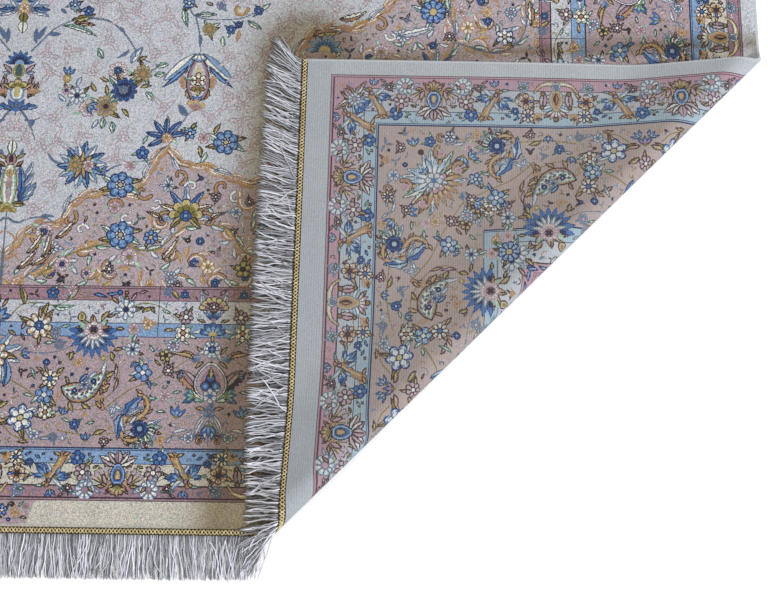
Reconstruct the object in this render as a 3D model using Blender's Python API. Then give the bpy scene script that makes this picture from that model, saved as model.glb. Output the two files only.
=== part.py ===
"""Silk rug lying pile up, with its near right corner turned over onto it and the back showing there.

The cloth is one solid. Each end is finished with a flat braid, and outside the braid lies a fringe
whose locks grow from a narrow heading. The near braid and the near fringe follow the turned corner.

Each piece is first laid out flat, as a maker would cut it, and cut along the lines where the cloth
bends. turned() then carries its points through the turn: up round the fold, down the fall and level
again on top of the rug. X runs across the rug, Y along it away from the near end, Z up. The origin is
on the floor, under the rug's centre.
"""

import math

import bmesh
import bpy
from mathutils import Matrix, Vector

# Driving dimensions, in metres and radians
RUG_WIDTH = 1.36
RUG_LENGTH = 2.00  # between the two braids
CLOTH_THICKNESS = 0.0035
BRAID_WIDTH = 0.006
BRAID_CHAMFER = 0.0012
HEADING_WIDTH = 0.002
LOCK_LENGTH = 0.0375
LOCK_PITCH = 0.0098
LOCK_SHARE = 0.7  # share of the pitch that a lock fills at its root
LOCK_THICKNESS = 0.0026
LOCK_TIP = 0.72  # width and thickness at a lock's tip, as a share of its root
LOCK_STEPS = 3
LOCK_SWAY = 0.006  # how far a lock's tip leans along the edge
SWAY_WAVES = ((0.6, 37, 0), (0.4, 91, 1))  # share of the lean, radians for each metre of edge, phase
CLEARANCE = 0.0003  # between pieces that touch

TURN_START = 0.2318  # where the fold line meets the near end, from the rug's centre line
TURN_ANGLE = math.radians(44.7)  # of the fold line, from the near end
TURN_RADIUS = 0.0116  # of the fold, at mid thickness
TURN_PAST = math.radians(17.8)  # how far the cloth bends past a half turn before it falls
SETTLE_RADIUS = 0.08  # of the soft bend where the fall comes down to the rug
LAY_GAP = 0.0010  # between the rug and the flap that lies on it
RIPPLE_HEIGHT = 0.0020
RIPPLE_LENGTH = 0.31  # along the fold line
RIPPLE_RUN = 0.10  # of cloth over which the ripple grows

FOLD_STEPS = 10
FALL_STEPS = 2
SETTLE_STEPS = 3
FLAP_STEPS = 4
RIPPLE_STEPS = 8

# Sizes that follow from them
MID = CLOTH_THICKNESS / 2
HALF_LENGTH = RUG_LENGTH / 2
LAY_HEIGHT = CLOTH_THICKNESS + LAY_GAP + MID
LANDING = CLOTH_THICKNESS + CLEARANCE + LOCK_THICKNESS * LOCK_TIP / 2  # mid height of a lock on the rug
BEND = math.pi + TURN_PAST
FALL_LENGTH = (
    MID + TURN_RADIUS * (1 + math.cos(TURN_PAST)) - SETTLE_RADIUS * (1 - math.cos(TURN_PAST)) - LAY_HEIGHT
) / math.sin(TURN_PAST)
FOLD_RUN = TURN_RADIUS * BEND
SETTLE_RUN = SETTLE_RADIUS * TURN_PAST
LAID_RUN = FOLD_RUN + FALL_LENGTH + SETTLE_RUN
TURN_FOOT = Vector((TURN_START, -HALF_LENGTH, 0))
ALONG = Vector((math.cos(TURN_ANGLE), math.sin(TURN_ANGLE), 0))
ACROSS = Vector((math.sin(TURN_ANGLE), -math.cos(TURN_ANGLE), 0))
UP = Vector((0, 0, 1))
CORNER = Vector((RUG_WIDTH / 2, -HALF_LENGTH, 0)) - TURN_FOOT
FLAP_RUN = CORNER.dot(ACROSS)
FOLD_LENGTH = CORNER.x / math.cos(TURN_ANGLE)

HEADING_SHARE = 0.01  # points nearer the heading than this share of a lock belong to the heading
CUT_TOLERANCE = 1e-7

# Finishes: colour, roughness, metallic
FINISHES = {
    "silk_cloth": ((0.42, 0.33, 0.33, 1), 0.6, 0.0),
    "gold_braid": ((0.45, 0.30, 0.07, 1), 0.5, 0.0),
    "silk_fringe": ((0.62, 0.64, 0.67, 1), 0.45, 0.0),
}


def clear_objects():
    for item in list(bpy.data.objects):
        bpy.data.objects.remove(item, do_unlink=True)


def finish_named(name):
    """The material of one finish, made on first use."""
    made = bpy.data.materials.get(name)
    if made:
        return made
    made = bpy.data.materials.new(name)
    made.use_nodes = True
    colour, roughness, metallic = FINISHES[name]
    shader = made.node_tree.nodes["Principled BSDF"]
    shader.inputs["Base Color"].default_value = colour
    shader.inputs["Roughness"].default_value = roughness
    shader.inputs["Metallic"].default_value = metallic
    made.diffuse_color = colour
    return made


def turn_profile(run):
    """Reach past the fold line, height and bend of the mid surface, after `run` of cloth past the line."""
    if run <= 0:
        return run, MID, 0.0
    bend = min(run / TURN_RADIUS, BEND)
    reach = TURN_RADIUS * math.sin(bend)
    height = MID + TURN_RADIUS * (1 - math.cos(bend))
    fall = min(max(run - FOLD_RUN, 0), FALL_LENGTH)
    reach += fall * math.cos(BEND)
    height += fall * math.sin(BEND)
    settle = min(max(run - FOLD_RUN - FALL_LENGTH, 0) / SETTLE_RADIUS, TURN_PAST)
    reach += SETTLE_RADIUS * (math.sin(BEND) - math.sin(BEND - settle))
    height += SETTLE_RADIUS * (math.cos(BEND - settle) - math.cos(BEND))
    reach -= max(run - LAID_RUN, 0)
    return reach, height, bend - settle


def ripple(run, along):
    """Height of the soft waves in the flap where it lies on the rug."""
    grown = min(max((run - FOLD_RUN) / RIPPLE_RUN, 0), 1)
    grown *= grown * (3 - 2 * grown)
    wave = 0.5 - 0.5 * math.cos(2 * math.pi * along / RIPPLE_LENGTH)
    return RIPPLE_HEIGHT * grown * wave


def turned(point):
    """Where a point of the flat layout goes when the corner is turned over."""
    flat = Vector((point.x, point.y, 0)) - TURN_FOOT
    run = flat.dot(ACROSS)
    if run <= 0:
        return point.copy()
    along = flat.dot(ALONG)
    reach, height, bend = turn_profile(run)
    proud = point.z - MID
    reach -= proud * math.sin(bend)
    height += proud * math.cos(bend) + ripple(run, along)
    return TURN_FOOT + ALONG * along + ACROSS * reach + UP * height


def turned_frame(point):
    """At a point of the turned cloth: the way out of the near end, and the way off the pile side."""
    step = 0.0005
    here = turned(point)
    out = (turned(point + Vector((0, -step, 0))) - here).normalized()
    across = (turned(point + Vector((step, 0, 0))) - here).normalized()
    return out, out.cross(across).normalized()


def spaced(start, end, steps):
    """The ends of equal steps from start to end, without the start."""
    return [start + (end - start) * i / steps for i in range(1, steps + 1)]


def cut(bm, faces, place, normal):
    """Cuts some faces, with their edges and corners, along a plane and keeps both sides."""
    bm.verts.index_update()
    bm.edges.index_update()
    edges = {e for f in faces for e in f.edges}
    verts = {v for f in faces for v in f.verts}
    geometry = faces + sorted(edges, key=lambda e: e.index) + sorted(verts, key=lambda v: v.index)
    bmesh.ops.bisect_plane(bm, geom=geometry, dist=CUT_TOLERANCE, plane_co=place, plane_no=normal)


def cut_for_turn(bm):
    """Cuts a flat layout along every line where the turned cloth bends or ripples."""
    runs = [0.0]
    runs += spaced(0, FOLD_RUN, FOLD_STEPS)
    runs += spaced(FOLD_RUN, FOLD_RUN + FALL_LENGTH, FALL_STEPS)
    runs += spaced(FOLD_RUN + FALL_LENGTH, LAID_RUN, SETTLE_STEPS)
    runs += spaced(LAID_RUN, FLAP_RUN, FLAP_STEPS)[:-1]
    for run in runs:
        cut(bm, bm.faces[:], TURN_FOOT + ACROSS * run, ACROSS)
    for along in spaced(0, FOLD_LENGTH, RIPPLE_STEPS)[:-1]:
        faces = [f for f in bm.faces if (f.calc_center_median() - TURN_FOOT).dot(ACROSS) > 0]
        cut(bm, faces, TURN_FOOT + ALONG * along, ALONG)


def flat_sheet(left, right, low, high, thickness, columns=1):
    """A closed flat slab on the floor, between two X and two Y values."""
    bm = bmesh.new()
    bmesh.ops.create_grid(bm, x_segments=columns, y_segments=1, size=0.5)
    size = Matrix.Diagonal((right - left, high - low, 1, 1))
    place = Matrix.Translation(((left + right) / 2, (low + high) / 2, 0))
    bmesh.ops.transform(bm, matrix=place @ size, verts=bm.verts)
    raised = bmesh.ops.extrude_face_region(bm, geom=bm.faces[:])
    top = [item for item in raised["geom"] if isinstance(item, bmesh.types.BMVert)]
    bmesh.ops.translate(bm, vec=(0, 0, thickness), verts=top)
    bmesh.ops.recalc_face_normals(bm, faces=bm.faces)
    return bm


def finished(bm, name, finish):
    """Makes the object of a finished bmesh."""
    mesh = bpy.data.meshes.new(name)
    bm.to_mesh(mesh)
    bm.free()
    mesh.materials.append(finish_named(finish))
    item = bpy.data.objects.new(name, mesh)
    bpy.context.scene.collection.objects.link(item)
    return item


def carpet():
    """The cloth itself: pile, knotted ground and plain bands in one sheet."""
    half = RUG_WIDTH / 2
    bm = flat_sheet(-half, half, -HALF_LENGTH, HALF_LENGTH, CLOTH_THICKNESS)
    cut_for_turn(bm)
    for vert in bm.verts:
        vert.co = turned(vert.co)
    return finished(bm, "carpet", "silk_cloth")


def braid(name, end):
    """A flat braid along one end, with its two top edges taken off. end is -1 near and 1 far."""
    half = RUG_WIDTH / 2
    inner = end * (HALF_LENGTH + CLEARANCE)
    outer = inner + end * BRAID_WIDTH
    bm = flat_sheet(-half, half, min(inner, outer), max(inner, outer), CLOTH_THICKNESS)
    crest = [
        e for e in bm.edges
        if abs(e.verts[0].co.x - e.verts[1].co.x) > half
        and min(v.co.z for v in e.verts) > MID
    ]
    bmesh.ops.bevel(
        bm, geom=crest, offset=BRAID_CHAMFER, segments=1, profile=0.5, affect="EDGES", material=-1
    )
    if end < 0:
        cut_for_turn(bm)
        for vert in bm.verts:
            vert.co = turned(vert.co)
    return finished(bm, name, "gold_braid")


def comb(start, end, root, out):
    """A flat heading with a straight lock on every second cell, and the X of each lock's centre.

    The heading runs along X from start to end, with its outer side at Y root. The locks grow from that
    side along Y, towards -Y where out is -1 and towards +Y where it is 1.
    """
    count = max(1, int((end - start) / LOCK_PITCH))
    pitch = (end - start) / count
    width = pitch * LOCK_SHARE
    sides = sorted((root, root - out * HEADING_WIDTH))
    bm = flat_sheet(start, end, sides[0], sides[1], LOCK_THICKNESS, columns=2 * count + 1)
    cell = (end - start) / (2 * count + 1)
    centres = [start + pitch * (i + 0.5) for i in range(count)]
    for vert in bm.verts:
        column = round((vert.co.x - start) / cell)
        lock, side = divmod(column - 1, 2)
        if 0 < column < 2 * count + 1:
            vert.co.x = centres[lock] + (side - 0.5) * width
    for centre in centres:
        face = next(
            f for f in bm.faces
            if abs(f.normal.y) > 0.9 and abs(f.calc_center_median().x - centre) < width / 4
            and abs(f.calc_center_median().y - root) < HEADING_WIDTH / 4
        )
        for _ in range(LOCK_STEPS):
            face = bmesh.ops.extrude_discrete_faces(bm, faces=[face])["faces"][0]
            bmesh.ops.translate(bm, vec=(0, out * LOCK_LENGTH / LOCK_STEPS, 0), verts=face.verts)
    return bm, centres


def sway(place):
    """How far the tip of the lock at this place along the edge leans."""
    return LOCK_SWAY * sum(share * math.sin(pace * place + phase) for share, pace, phase in SWAY_WAVES)


def lay_flat(bm, centres, root, out):
    """Lays the locks of a flat fringe level on the floor, narrower and thinner towards their tips."""
    for vert in bm.verts:
        share = out * (vert.co.y - root) / LOCK_LENGTH
        if share <= HEADING_SHARE:
            continue
        centre = min(centres, key=lambda c: abs(c - vert.co.x))
        taper = 1 + (LOCK_TIP - 1) * share
        vert.co.x = centre + (vert.co.x - centre) * taper + sway(centre) * share**2
        vert.co.z *= taper


def drape(bm, centres, root):
    """Lets the locks of the turned fringe leave the turned edge and come down onto the rug."""
    for vert in bm.verts:
        share = (root - vert.co.y) / LOCK_LENGTH
        if share <= HEADING_SHARE:
            vert.co = turned(vert.co)
            continue
        centre = min(centres, key=lambda c: abs(c - vert.co.x))
        foot = Vector((centre, root, LOCK_THICKNESS / 2))
        start = turned(foot)
        out, off = turned_frame(foot)
        level = Vector((out.x, out.y, 0)).normalized()
        drop = start.z - LANDING
        reach = math.sqrt(LOCK_LENGTH**2 - drop**2)
        tip = start + level * reach + level.cross(UP) * sway(centre) - UP * drop
        lead = LOCK_LENGTH / 3
        a, b, c, d = start, start + out * lead, tip - level * lead, tip
        t, r = share, 1 - share
        place = a * r**3 + b * (3 * r * r * t) + c * (3 * r * t * t) + d * t**3
        heading = ((b - a) * (r * r) + (c - b) * (2 * r * t) + (d - c) * (t * t)).normalized()
        settled = UP if off.z > 0 else -UP
        side = (off * r + settled * t).cross(heading).normalized()
        off = heading.cross(side).normalized()
        taper = 1 + (LOCK_TIP - 1) * share
        wide = (vert.co.x - centre) * taper
        proud = (vert.co.z - LOCK_THICKNESS / 2) * taper
        vert.co = place + side * wide + off * proud


def fringe(name, start, end, out, is_turned=False):
    """The fringe of one stretch of an end, just outside its braid."""
    root = out * (HALF_LENGTH + BRAID_WIDTH + 2 * CLEARANCE + HEADING_WIDTH)
    bm, centres = comb(start, end, root, out)
    if is_turned:
        drape(bm, centres, root)
    else:
        lay_flat(bm, centres, root, out)
    return finished(bm, name, "silk_fringe")


def main():
    clear_objects()
    half = RUG_WIDTH / 2
    carpet()
    braid("braid_near", -1)
    braid("braid_far", 1)
    fringe("fringe_near", -half, TURN_START - LOCK_PITCH / 2, -1)
    fringe("fringe_turned", TURN_START + LOCK_PITCH, half, -1, is_turned=True)
    fringe("fringe_far", -half, half, 1)


main()
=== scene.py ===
"""A knotted silk rug of Persian kind with one near corner turned over. It weaves the pile and the back from
one drawn cartoon, lays both along the turned cloth, and adds the overcast sides, the braided ends and the
fringes."""

import math

import bmesh
import bpy
import numpy as np
from bpy.props import FloatProperty, FloatVectorProperty, PointerProperty
from mathutils import Matrix, Vector


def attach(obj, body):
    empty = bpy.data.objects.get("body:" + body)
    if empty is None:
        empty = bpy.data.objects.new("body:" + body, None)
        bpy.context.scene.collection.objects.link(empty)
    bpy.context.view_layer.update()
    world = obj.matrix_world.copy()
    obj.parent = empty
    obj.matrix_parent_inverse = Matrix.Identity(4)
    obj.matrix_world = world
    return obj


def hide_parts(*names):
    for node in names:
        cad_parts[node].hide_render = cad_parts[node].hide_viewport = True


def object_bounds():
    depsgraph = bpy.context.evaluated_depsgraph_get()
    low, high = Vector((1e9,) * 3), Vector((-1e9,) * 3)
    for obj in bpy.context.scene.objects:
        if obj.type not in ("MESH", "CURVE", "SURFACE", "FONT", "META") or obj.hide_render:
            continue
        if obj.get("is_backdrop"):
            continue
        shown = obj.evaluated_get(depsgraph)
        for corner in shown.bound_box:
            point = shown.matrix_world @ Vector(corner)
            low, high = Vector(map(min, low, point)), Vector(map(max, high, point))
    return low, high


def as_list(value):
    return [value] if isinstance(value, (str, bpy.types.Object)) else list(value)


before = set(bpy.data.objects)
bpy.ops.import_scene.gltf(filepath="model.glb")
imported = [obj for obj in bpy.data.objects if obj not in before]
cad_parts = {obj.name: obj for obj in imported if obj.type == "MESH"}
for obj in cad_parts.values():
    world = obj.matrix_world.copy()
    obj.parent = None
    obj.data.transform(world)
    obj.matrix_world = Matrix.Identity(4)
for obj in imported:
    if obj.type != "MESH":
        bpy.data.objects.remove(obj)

bl_info = {
    "name": "Knotted Silk Rug",
    "version": (1, 0, 0),
    "blender": (4, 5, 0),
    "location": "3D View > Sidebar > Rug",
    "description": "Weaves a silk rug of Persian kind whose near corner is turned over",
    "category": "Add Mesh",
}

RUG_WIDTH, RUG_LENGTH = 1.36, 2.00
CLOTH_THICKNESS = 0.0035
CLEARANCE = 0.0003  # between the threads and what they lie on
TURN_START, TURN_ANGLE = 0.2318, math.radians(44.7)  # the fold's foot right of the middle, and its lean
TURN_RADIUS, TURN_PAST = 0.0116, math.radians(17.8)  # the bend, which goes this far past half a turn
SETTLE_RADIUS, LAY_GAP = 0.08, 0.0010  # the cloth levels out again in this radius, this high over the pile
RIPPLE_HEIGHT, RIPPLE_LENGTH, RIPPLE_RUN = 0.0020, 0.31, 0.10  # the waves grow to their height over this run

UP = Vector((0, 0, 1))
HALF_WIDTH, HALF_LENGTH = RUG_WIDTH / 2, RUG_LENGTH / 2
MID = CLOTH_THICKNESS / 2
LAY_HEIGHT = CLOTH_THICKNESS + LAY_GAP + MID
BEND = math.pi + TURN_PAST
FALL_LENGTH = (
    MID + TURN_RADIUS * (1 + math.cos(TURN_PAST)) - SETTLE_RADIUS * (1 - math.cos(TURN_PAST)) - LAY_HEIGHT
) / math.sin(TURN_PAST)
FOLD_RUN, SETTLE_RUN = TURN_RADIUS * BEND, SETTLE_RADIUS * TURN_PAST
LAID_RUN = FOLD_RUN + FALL_LENGTH + SETTLE_RUN
TURN_FOOT = Vector((TURN_START, -HALF_LENGTH, 0))
FOLD_SIDE = -HALF_LENGTH + (HALF_WIDTH - TURN_START) * math.tan(TURN_ANGLE)  # where it meets the long side
ALONG = Vector((math.cos(TURN_ANGLE), math.sin(TURN_ANGLE), 0))
ACROSS = Vector((math.sin(TURN_ANGLE), -math.cos(TURN_ANGLE), 0))


def turn_profile(run):
    """How far cloth lies from the fold's foot, its height and its bend, a run past the foot."""
    if run <= 0:
        return run, MID, 0.0
    bend = min(run / TURN_RADIUS, BEND)
    reach = TURN_RADIUS * math.sin(bend)
    height = MID + TURN_RADIUS * (1 - math.cos(bend))
    fall = min(max(run - FOLD_RUN, 0), FALL_LENGTH)
    reach += fall * math.cos(BEND)
    height += fall * math.sin(BEND)
    settle = min(max(run - FOLD_RUN - FALL_LENGTH, 0) / SETTLE_RADIUS, TURN_PAST)
    reach += SETTLE_RADIUS * (math.sin(BEND) - math.sin(BEND - settle))
    height += SETTLE_RADIUS * (math.cos(BEND - settle) - math.cos(BEND))
    return reach - max(run - LAID_RUN, 0), height, bend - settle


def ripple(run, along):
    """How far the turned corner stands off the pile in soft waves along the fold."""
    grown = min(max((run - FOLD_RUN) / RIPPLE_RUN, 0), 1)
    grown *= grown * (3 - 2 * grown)
    return RIPPLE_HEIGHT * grown * (0.5 - 0.5 * math.cos(2 * math.pi * along / RIPPLE_LENGTH))


def turned(point):
    """Where a point of the flat layout, at its height over the floor, lies with the corner turned over."""
    flat = Vector((point[0], point[1], 0)) - TURN_FOOT
    run = flat.dot(ACROSS)
    if run <= 0:
        return Vector(point)
    along = flat.dot(ALONG)
    reach, height, bend = turn_profile(run)
    proud = point[2] - MID
    reach -= proud * math.sin(bend)
    height += proud * math.cos(bend) + ripple(run, along)
    return TURN_FOOT + ALONG * along + ACROSS * reach + UP * height


# name, its colour in the pile and its colour on the back, as screens show them
YARNS = (
    ("field", (180, 184, 193), (164, 170, 176)),
    ("rose", (159, 142, 149), (155, 143, 140)),
    ("sky", (120, 150, 186), (144, 164, 176)),
    ("blue", (54, 96, 152), (68, 102, 150)),
    ("navy", (22, 34, 76), (38, 50, 88)),
    ("olive", (112, 108, 48), (118, 108, 62)),
    ("copper", (158, 124, 92), (150, 124, 100)),
    ("mint", (132, 168, 152), (140, 160, 148)),
    ("lilac", (164, 152, 159), (160, 149, 156)),
    ("ivory", (214, 214, 208), (186, 190, 188)),
    ("plum", (44, 30, 36), (68, 52, 56)),
    ("straw", (176, 163, 118), (164, 154, 124)),
    ("pink", (144, 116, 130), (160, 132, 144)),
    ("slate", (86, 100, 124), (96, 108, 124)),
    ("teal", (52, 80, 80), (68, 90, 88)),
    ("cream", (185, 182, 172), (157, 164, 171)),
)
FIELD, ROSE, SKY, BLUE, NAVY, OLIVE, COPPER, MINT = range(8)
LILAC, IVORY, PLUM, STRAW, PINK, SLATE, TEAL, CREAM = range(8, 16)

RIM = 1.15  # mm, the dark line round a motif
VEINED = 5.5  # mm, the radius from which a flower's petals show veins
INNER = 0.64  # the petals' inner half reaches out to this share of them
GOLDEN_ANGLE = 137.5  # degrees from one leaf to the next
# each flower's petals, its yarns from rim to heart, how deep its petals are cut, how wide its eye is, and the
# leaves that show behind it
FLOWERS = {
    "blue rose": (7, (NAVY, BLUE, SKY, STRAW), 0.25, 0.28, ("mint", "olive")),
    "navy rose": (5, (NAVY, BLUE, BLUE, SKY), 0.3, 0.28, ("mint",)),
    "sky rose": (9, (SLATE, SKY, IVORY, PINK), 0.25, 0.3, ("white",)),
    "pink rose": (7, (PLUM, PINK, LILAC, IVORY), 0.3, 0.28, ("olive",)),
    "rosy": (7, (PINK, IVORY, LILAC, OLIVE), 0.3, 0.28, ("pale mint",)),
    "tan rose": (7, (COPPER, STRAW, IVORY, OLIVE), 0.3, 0.28, ("copper",)),
    "dark rose": (5, (PLUM, OLIVE, STRAW, PLUM), 0.4, 0.3, ("olive", "tan")),
    "five": (5, (NAVY, BLUE, SKY, IVORY), 0.45, 0.26, ("olive", "mint")),
    "six": (6, (NAVY, BLUE, IVORY, STRAW), 0.5, 0.22, ("white", "olive")),
    "white six": (6, (SLATE, IVORY, FIELD, BLUE), 0.45, 0.26, ("white",)),
    "brown six": (6, (PLUM, IVORY, COPPER, PLUM), 0.45, 0.26, ("tan",)),
    "star": (8, (PLUM, COPPER, IVORY, BLUE), 0.45, 0.28, ("olive", "tan")),
    "blue star": (8, (SLATE, SKY, IVORY, NAVY), 0.45, 0.28, ("white", "olive")),
    "green star": (6, (PLUM, OLIVE, IVORY, COPPER), 0.45, 0.28, ("mint",)),
    "berry": (4, (NAVY, BLUE, BLUE, SKY), 0.1, 0.35, ()),
    "pink berry": (4, (PLUM, PINK, IVORY, NAVY), 0.1, 0.4, ()),
    "aster": (11, (NAVY, BLUE, NAVY, PINK), 0.3, 0.3, ("mint", "olive")),
    "gold aster": (10, (OLIVE, STRAW, PINK, COPPER), 0.3, 0.32, ("mint", "olive")),
    "grand aster": (9, (NAVY, BLUE, SKY, STRAW), 0.25, 0.3, ("mint", "olive")),
}
LEAVES = {
    "mint": (TEAL, MINT, IVORY),
    "pale mint": (MINT, MINT, IVORY),
    "olive": (PLUM, OLIVE, STRAW),
    "dark": (PLUM, TEAL, OLIVE),
    "blue": (NAVY, BLUE, SKY),
    "sky": (SLATE, SKY, IVORY),
    "slate": (SLATE, SLATE, BLUE),
    "tan": (PLUM, COPPER, STRAW),
    "copper": (COPPER, ROSE, COPPER),
    "white": (SLATE, IVORY, FIELD),
    "brown white": (PLUM, IVORY, COPPER),
    "brown": (PLUM, COPPER, PLUM),
    "soft tan": (COPPER, STRAW, COPPER),
    "soft white": (COPPER, IVORY, LILAC),
    "pink": (PLUM, PINK, LILAC),
    "pale": (PLUM, LILAC, IVORY),
    "lilac": (ROSE, FIELD, FIELD),
    "pale lilac": (LILAC, FIELD, FIELD),
    "bare mint": (None, MINT, TEAL),
    "bare olive": (None, OLIVE, STRAW),
    "bare plum": (None, PLUM, COPPER),
    "bare sky": (None, SKY, BLUE),
    "bare white": (None, IVORY, SLATE),
}


# the places, after a motif's spot across the rug, of what changes its sign in a mirror
MIRRORED = {"leaf": (3, 4), "tulip": (2,), "fan": (4,), "curl": (3, 4)}


class Cartoon:
    """The weaver's drawing of a quarter of the rug, one yarn number for each knot. Places and sizes are in
    millimetres: x from the rug's middle line, y from its end. A motif's turn is in degrees clockwise from up,
    and lay() turns or mirrors the motifs that follow it, so that one drawing serves every border."""

    def __init__(self, wide, high, knot, ground):
        self.knot = knot
        self.knots = np.full((round(high / knot), round(wide / knot)), ground, np.uint8)
        self.lay()
        self.keep_within(wide, 0)

    def keep_within(self, x, y):
        """Draws what follows only inside a line round the rug, x from its middle and y from its end."""
        self.last_column, self.first_row = round(x / self.knot), round(y / self.knot)

    def lay(self, origin=(0, 0), along=(1, 0), deep=(0, 1), stretch=1.0):
        """Sets where the motifs' own x and y run on the rug. stretch spaces them further apart along x."""
        self.origin, self.along, self.deep = (np.array(pair, float) for pair in (origin, along, deep))
        self.stretch = stretch

    def spot(self, x, y):
        return self.origin + x * self.stretch * self.along + y * self.deep

    def window(self, low, high):
        """The knots between two corners, and the rug coordinates of their middles."""
        left, bottom = max(0, int(low[0] / self.knot)), max(self.first_row, int(low[1] / self.knot))
        right = max(left, min(self.last_column, int(high[0] / self.knot) + 2))
        top = max(bottom, min(len(self.knots), int(high[1] / self.knot) + 2))
        across, up = np.meshgrid(
            (np.arange(left, right) + 0.5) * self.knot, (np.arange(bottom, top) + 0.5) * self.knot
        )
        return self.knots[bottom:top, left:right], across, up

    def place(self, x, y, reach, turn=0.0):
        """The knots within reach of a spot, and how far each lies across and up the turned motif."""
        spot = self.spot(x, y)
        view, across, up = self.window(spot - reach, spot + reach)
        sin, cos = math.sin(math.radians(turn)), math.cos(math.radians(turn))
        way_up = sin * self.along + cos * self.deep
        way_across = cos * self.along - sin * self.deep
        dx, dy = across - spot[0], up - spot[1]
        return view, dx * way_across[0] + dy * way_across[1], dx * way_up[0] + dy * way_up[1]

    def field(self, x, y, yarn):
        """Fills all that lies inside a line round the rug, x from its middle and y from its end."""
        self.knots[round(y / self.knot) :, : round(x / self.knot)] = yarn

    def shape(self, points, rim, fill):
        """A smooth outline, filled."""
        self.patch(points, fill)
        self.stem([*points, points[0]], rim, RIM, None, 1.0)

    def patch(self, points, yarn):
        """Fills the ground inside a smooth outline."""
        route = smooth([self.spot(x, y) for x, y in points])
        view, across, up = self.window(route.min(0), route.max(0))
        inside = np.zeros(across.shape, bool)
        for (ax, ay), (bx, by) in zip(route, np.roll(route, -1, 0)):
            if ay != by:
                inside ^= ((ay > up) != (by > up)) & (across < ax + (bx - ax) * (up - ay) / (by - ay))
        view[inside] = yarn

    def strew(self, low, high, step, room, grounds, draw, seed):
        """Calls draw(x, y, turn, pick) at uneven places where the ground lies bare all round. pick is a
        random share that the drawing may choose by."""
        chance = np.random.default_rng(seed)
        for y in np.arange(low[1], high[1], step):
            for x in np.arange(low[0], high[0], step):
                spot = self.spot(x, y) + chance.uniform(-0.4, 0.4, 2) * step
                turn, pick = chance.uniform(0, 360), chance.uniform()
                view, _, _ = self.window(spot - room, spot + room)
                if view.size and np.isin(view, grounds).all():
                    draw(spot[0], spot[1], turn, pick)

    def dot(self, x, y, radius, yarns):
        """A round spot. yarns are its rim, which may be None, and its fill."""
        rim, fill = yarns
        view, across, up = self.place(x, y, radius + 1)
        far = np.hypot(across, up)
        view[far < radius] = fill
        if rim is not None:
            view[(far < radius) & (far > radius - RIM)] = rim

    def both(self, rows, x=0):
        """Draws some motifs and then their mirror images about x."""
        for side in (1, -1):
            self.draw(rows, x, side)

    def draw(self, rows, x=0, side=1):
        """Draws some motifs. Each has the kind of a flower or leaf or the name of another motif, its place
        past x, and then what its method takes. A stem has a list of spots for its place. A side of -1 mirrors
        them all about x."""
        for name, spot, *sizes in rows:
            if name == "stem":
                self.stem([(x + side * dx, y) for dx, y in spot], *sizes)
                continue
            motif = "leaf" if name in LEAVES else "flower" if name in FLOWERS else name
            for i in MIRRORED.get(motif, ()):
                if i < len(sizes):
                    sizes[i] *= side
            kind = () if motif == name else (name,)
            getattr(self, motif)(*kind, x + side * spot, *sizes)

    def rosette(self, x, y, radius, petals, yarns, turn=0.0, depth=0.3, eye=0.3):
        """A round flower. yarns are its rim, petals, the petals' inner half and its eye."""
        rim, petal, inner, heart = yarns
        view, across, up = self.place(x, y, radius + 1, turn)
        far = np.hypot(across, up)
        lobe = np.abs(np.cos(np.arctan2(across, up) * petals / 2))
        edge = radius * (1 - depth + depth * lobe**0.55)
        inside = far < edge
        view[inside] = petal
        view[inside & (far < edge * INNER)] = inner
        if radius > VEINED:
            vein = (lobe > 0.965) & (far < edge * 0.85)
            band = (lobe > 0.6) & (np.abs(far - edge * 0.8) < RIM / 3)
            view[inside & (vein | band)] = inner
        gap = lobe < 0.3 * petals / np.maximum(far, 1.0)
        view[inside & ((far > edge - RIM) | (gap & (far > radius * eye)))] = rim
        view[inside & (np.abs(far - radius * eye) < RIM / 2)] = rim
        view[far < radius * eye - RIM / 3] = heart

    def flower(self, kind, x, y, radius, turn=0.0):
        """A flower of one of the FLOWERS, on the leaves behind it, which no two flowers turn the same way."""
        petals, yarns, depth, eye, leaves = FLOWERS[kind]
        for i, leaf in enumerate(leaves * 2):
            way = turn + GOLDEN_ANGLE * i + 7 * x + 11 * y
            self.leaf(leaf, x, y, radius * (1.7 - 0.08 * i), radius * 0.56, way, 0.3 - 0.6 * (i % 2))
        self.rosette(x, y, radius, petals, yarns, turn, depth, eye)

    def fan(self, x, y, radius, petals, yarns, turn=0.0, spread=180, sharp=False, depth=0.35, heart=0.3):
        """A half-open flower, or a crown of leaves, that grows from a spot. yarns are its rim, the petals'
        tips and middles, and its heart."""
        rim, tip, middle, core = yarns
        view, across, up = self.place(x, y, radius + 1, turn)
        far = np.hypot(across, up)
        angle = np.arctan2(across, up)
        half = math.radians(spread / 2)
        phase = (angle / half + 1) / 2 * petals
        wave = np.abs((phase % 1) - 0.5) * 2
        lobe = 1 - wave if sharp else np.sqrt(np.clip(1 - wave**2, 0, 1))
        edge = radius * (1 - depth + depth * lobe)
        inside = (far < edge) & (np.abs(angle) <= half)
        view[inside] = tip
        view[inside & (far < edge * 0.66)] = middle
        seam = (1 - wave) < 0.4 * petals / (half * np.maximum(far, 1.2))
        border = (far > edge - RIM) | (np.abs(angle) > half - RIM / np.maximum(far, 1.0))
        view[inside & (border | (seam & (far > radius * heart)))] = rim
        view[inside & (far < radius * heart)] = core

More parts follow.
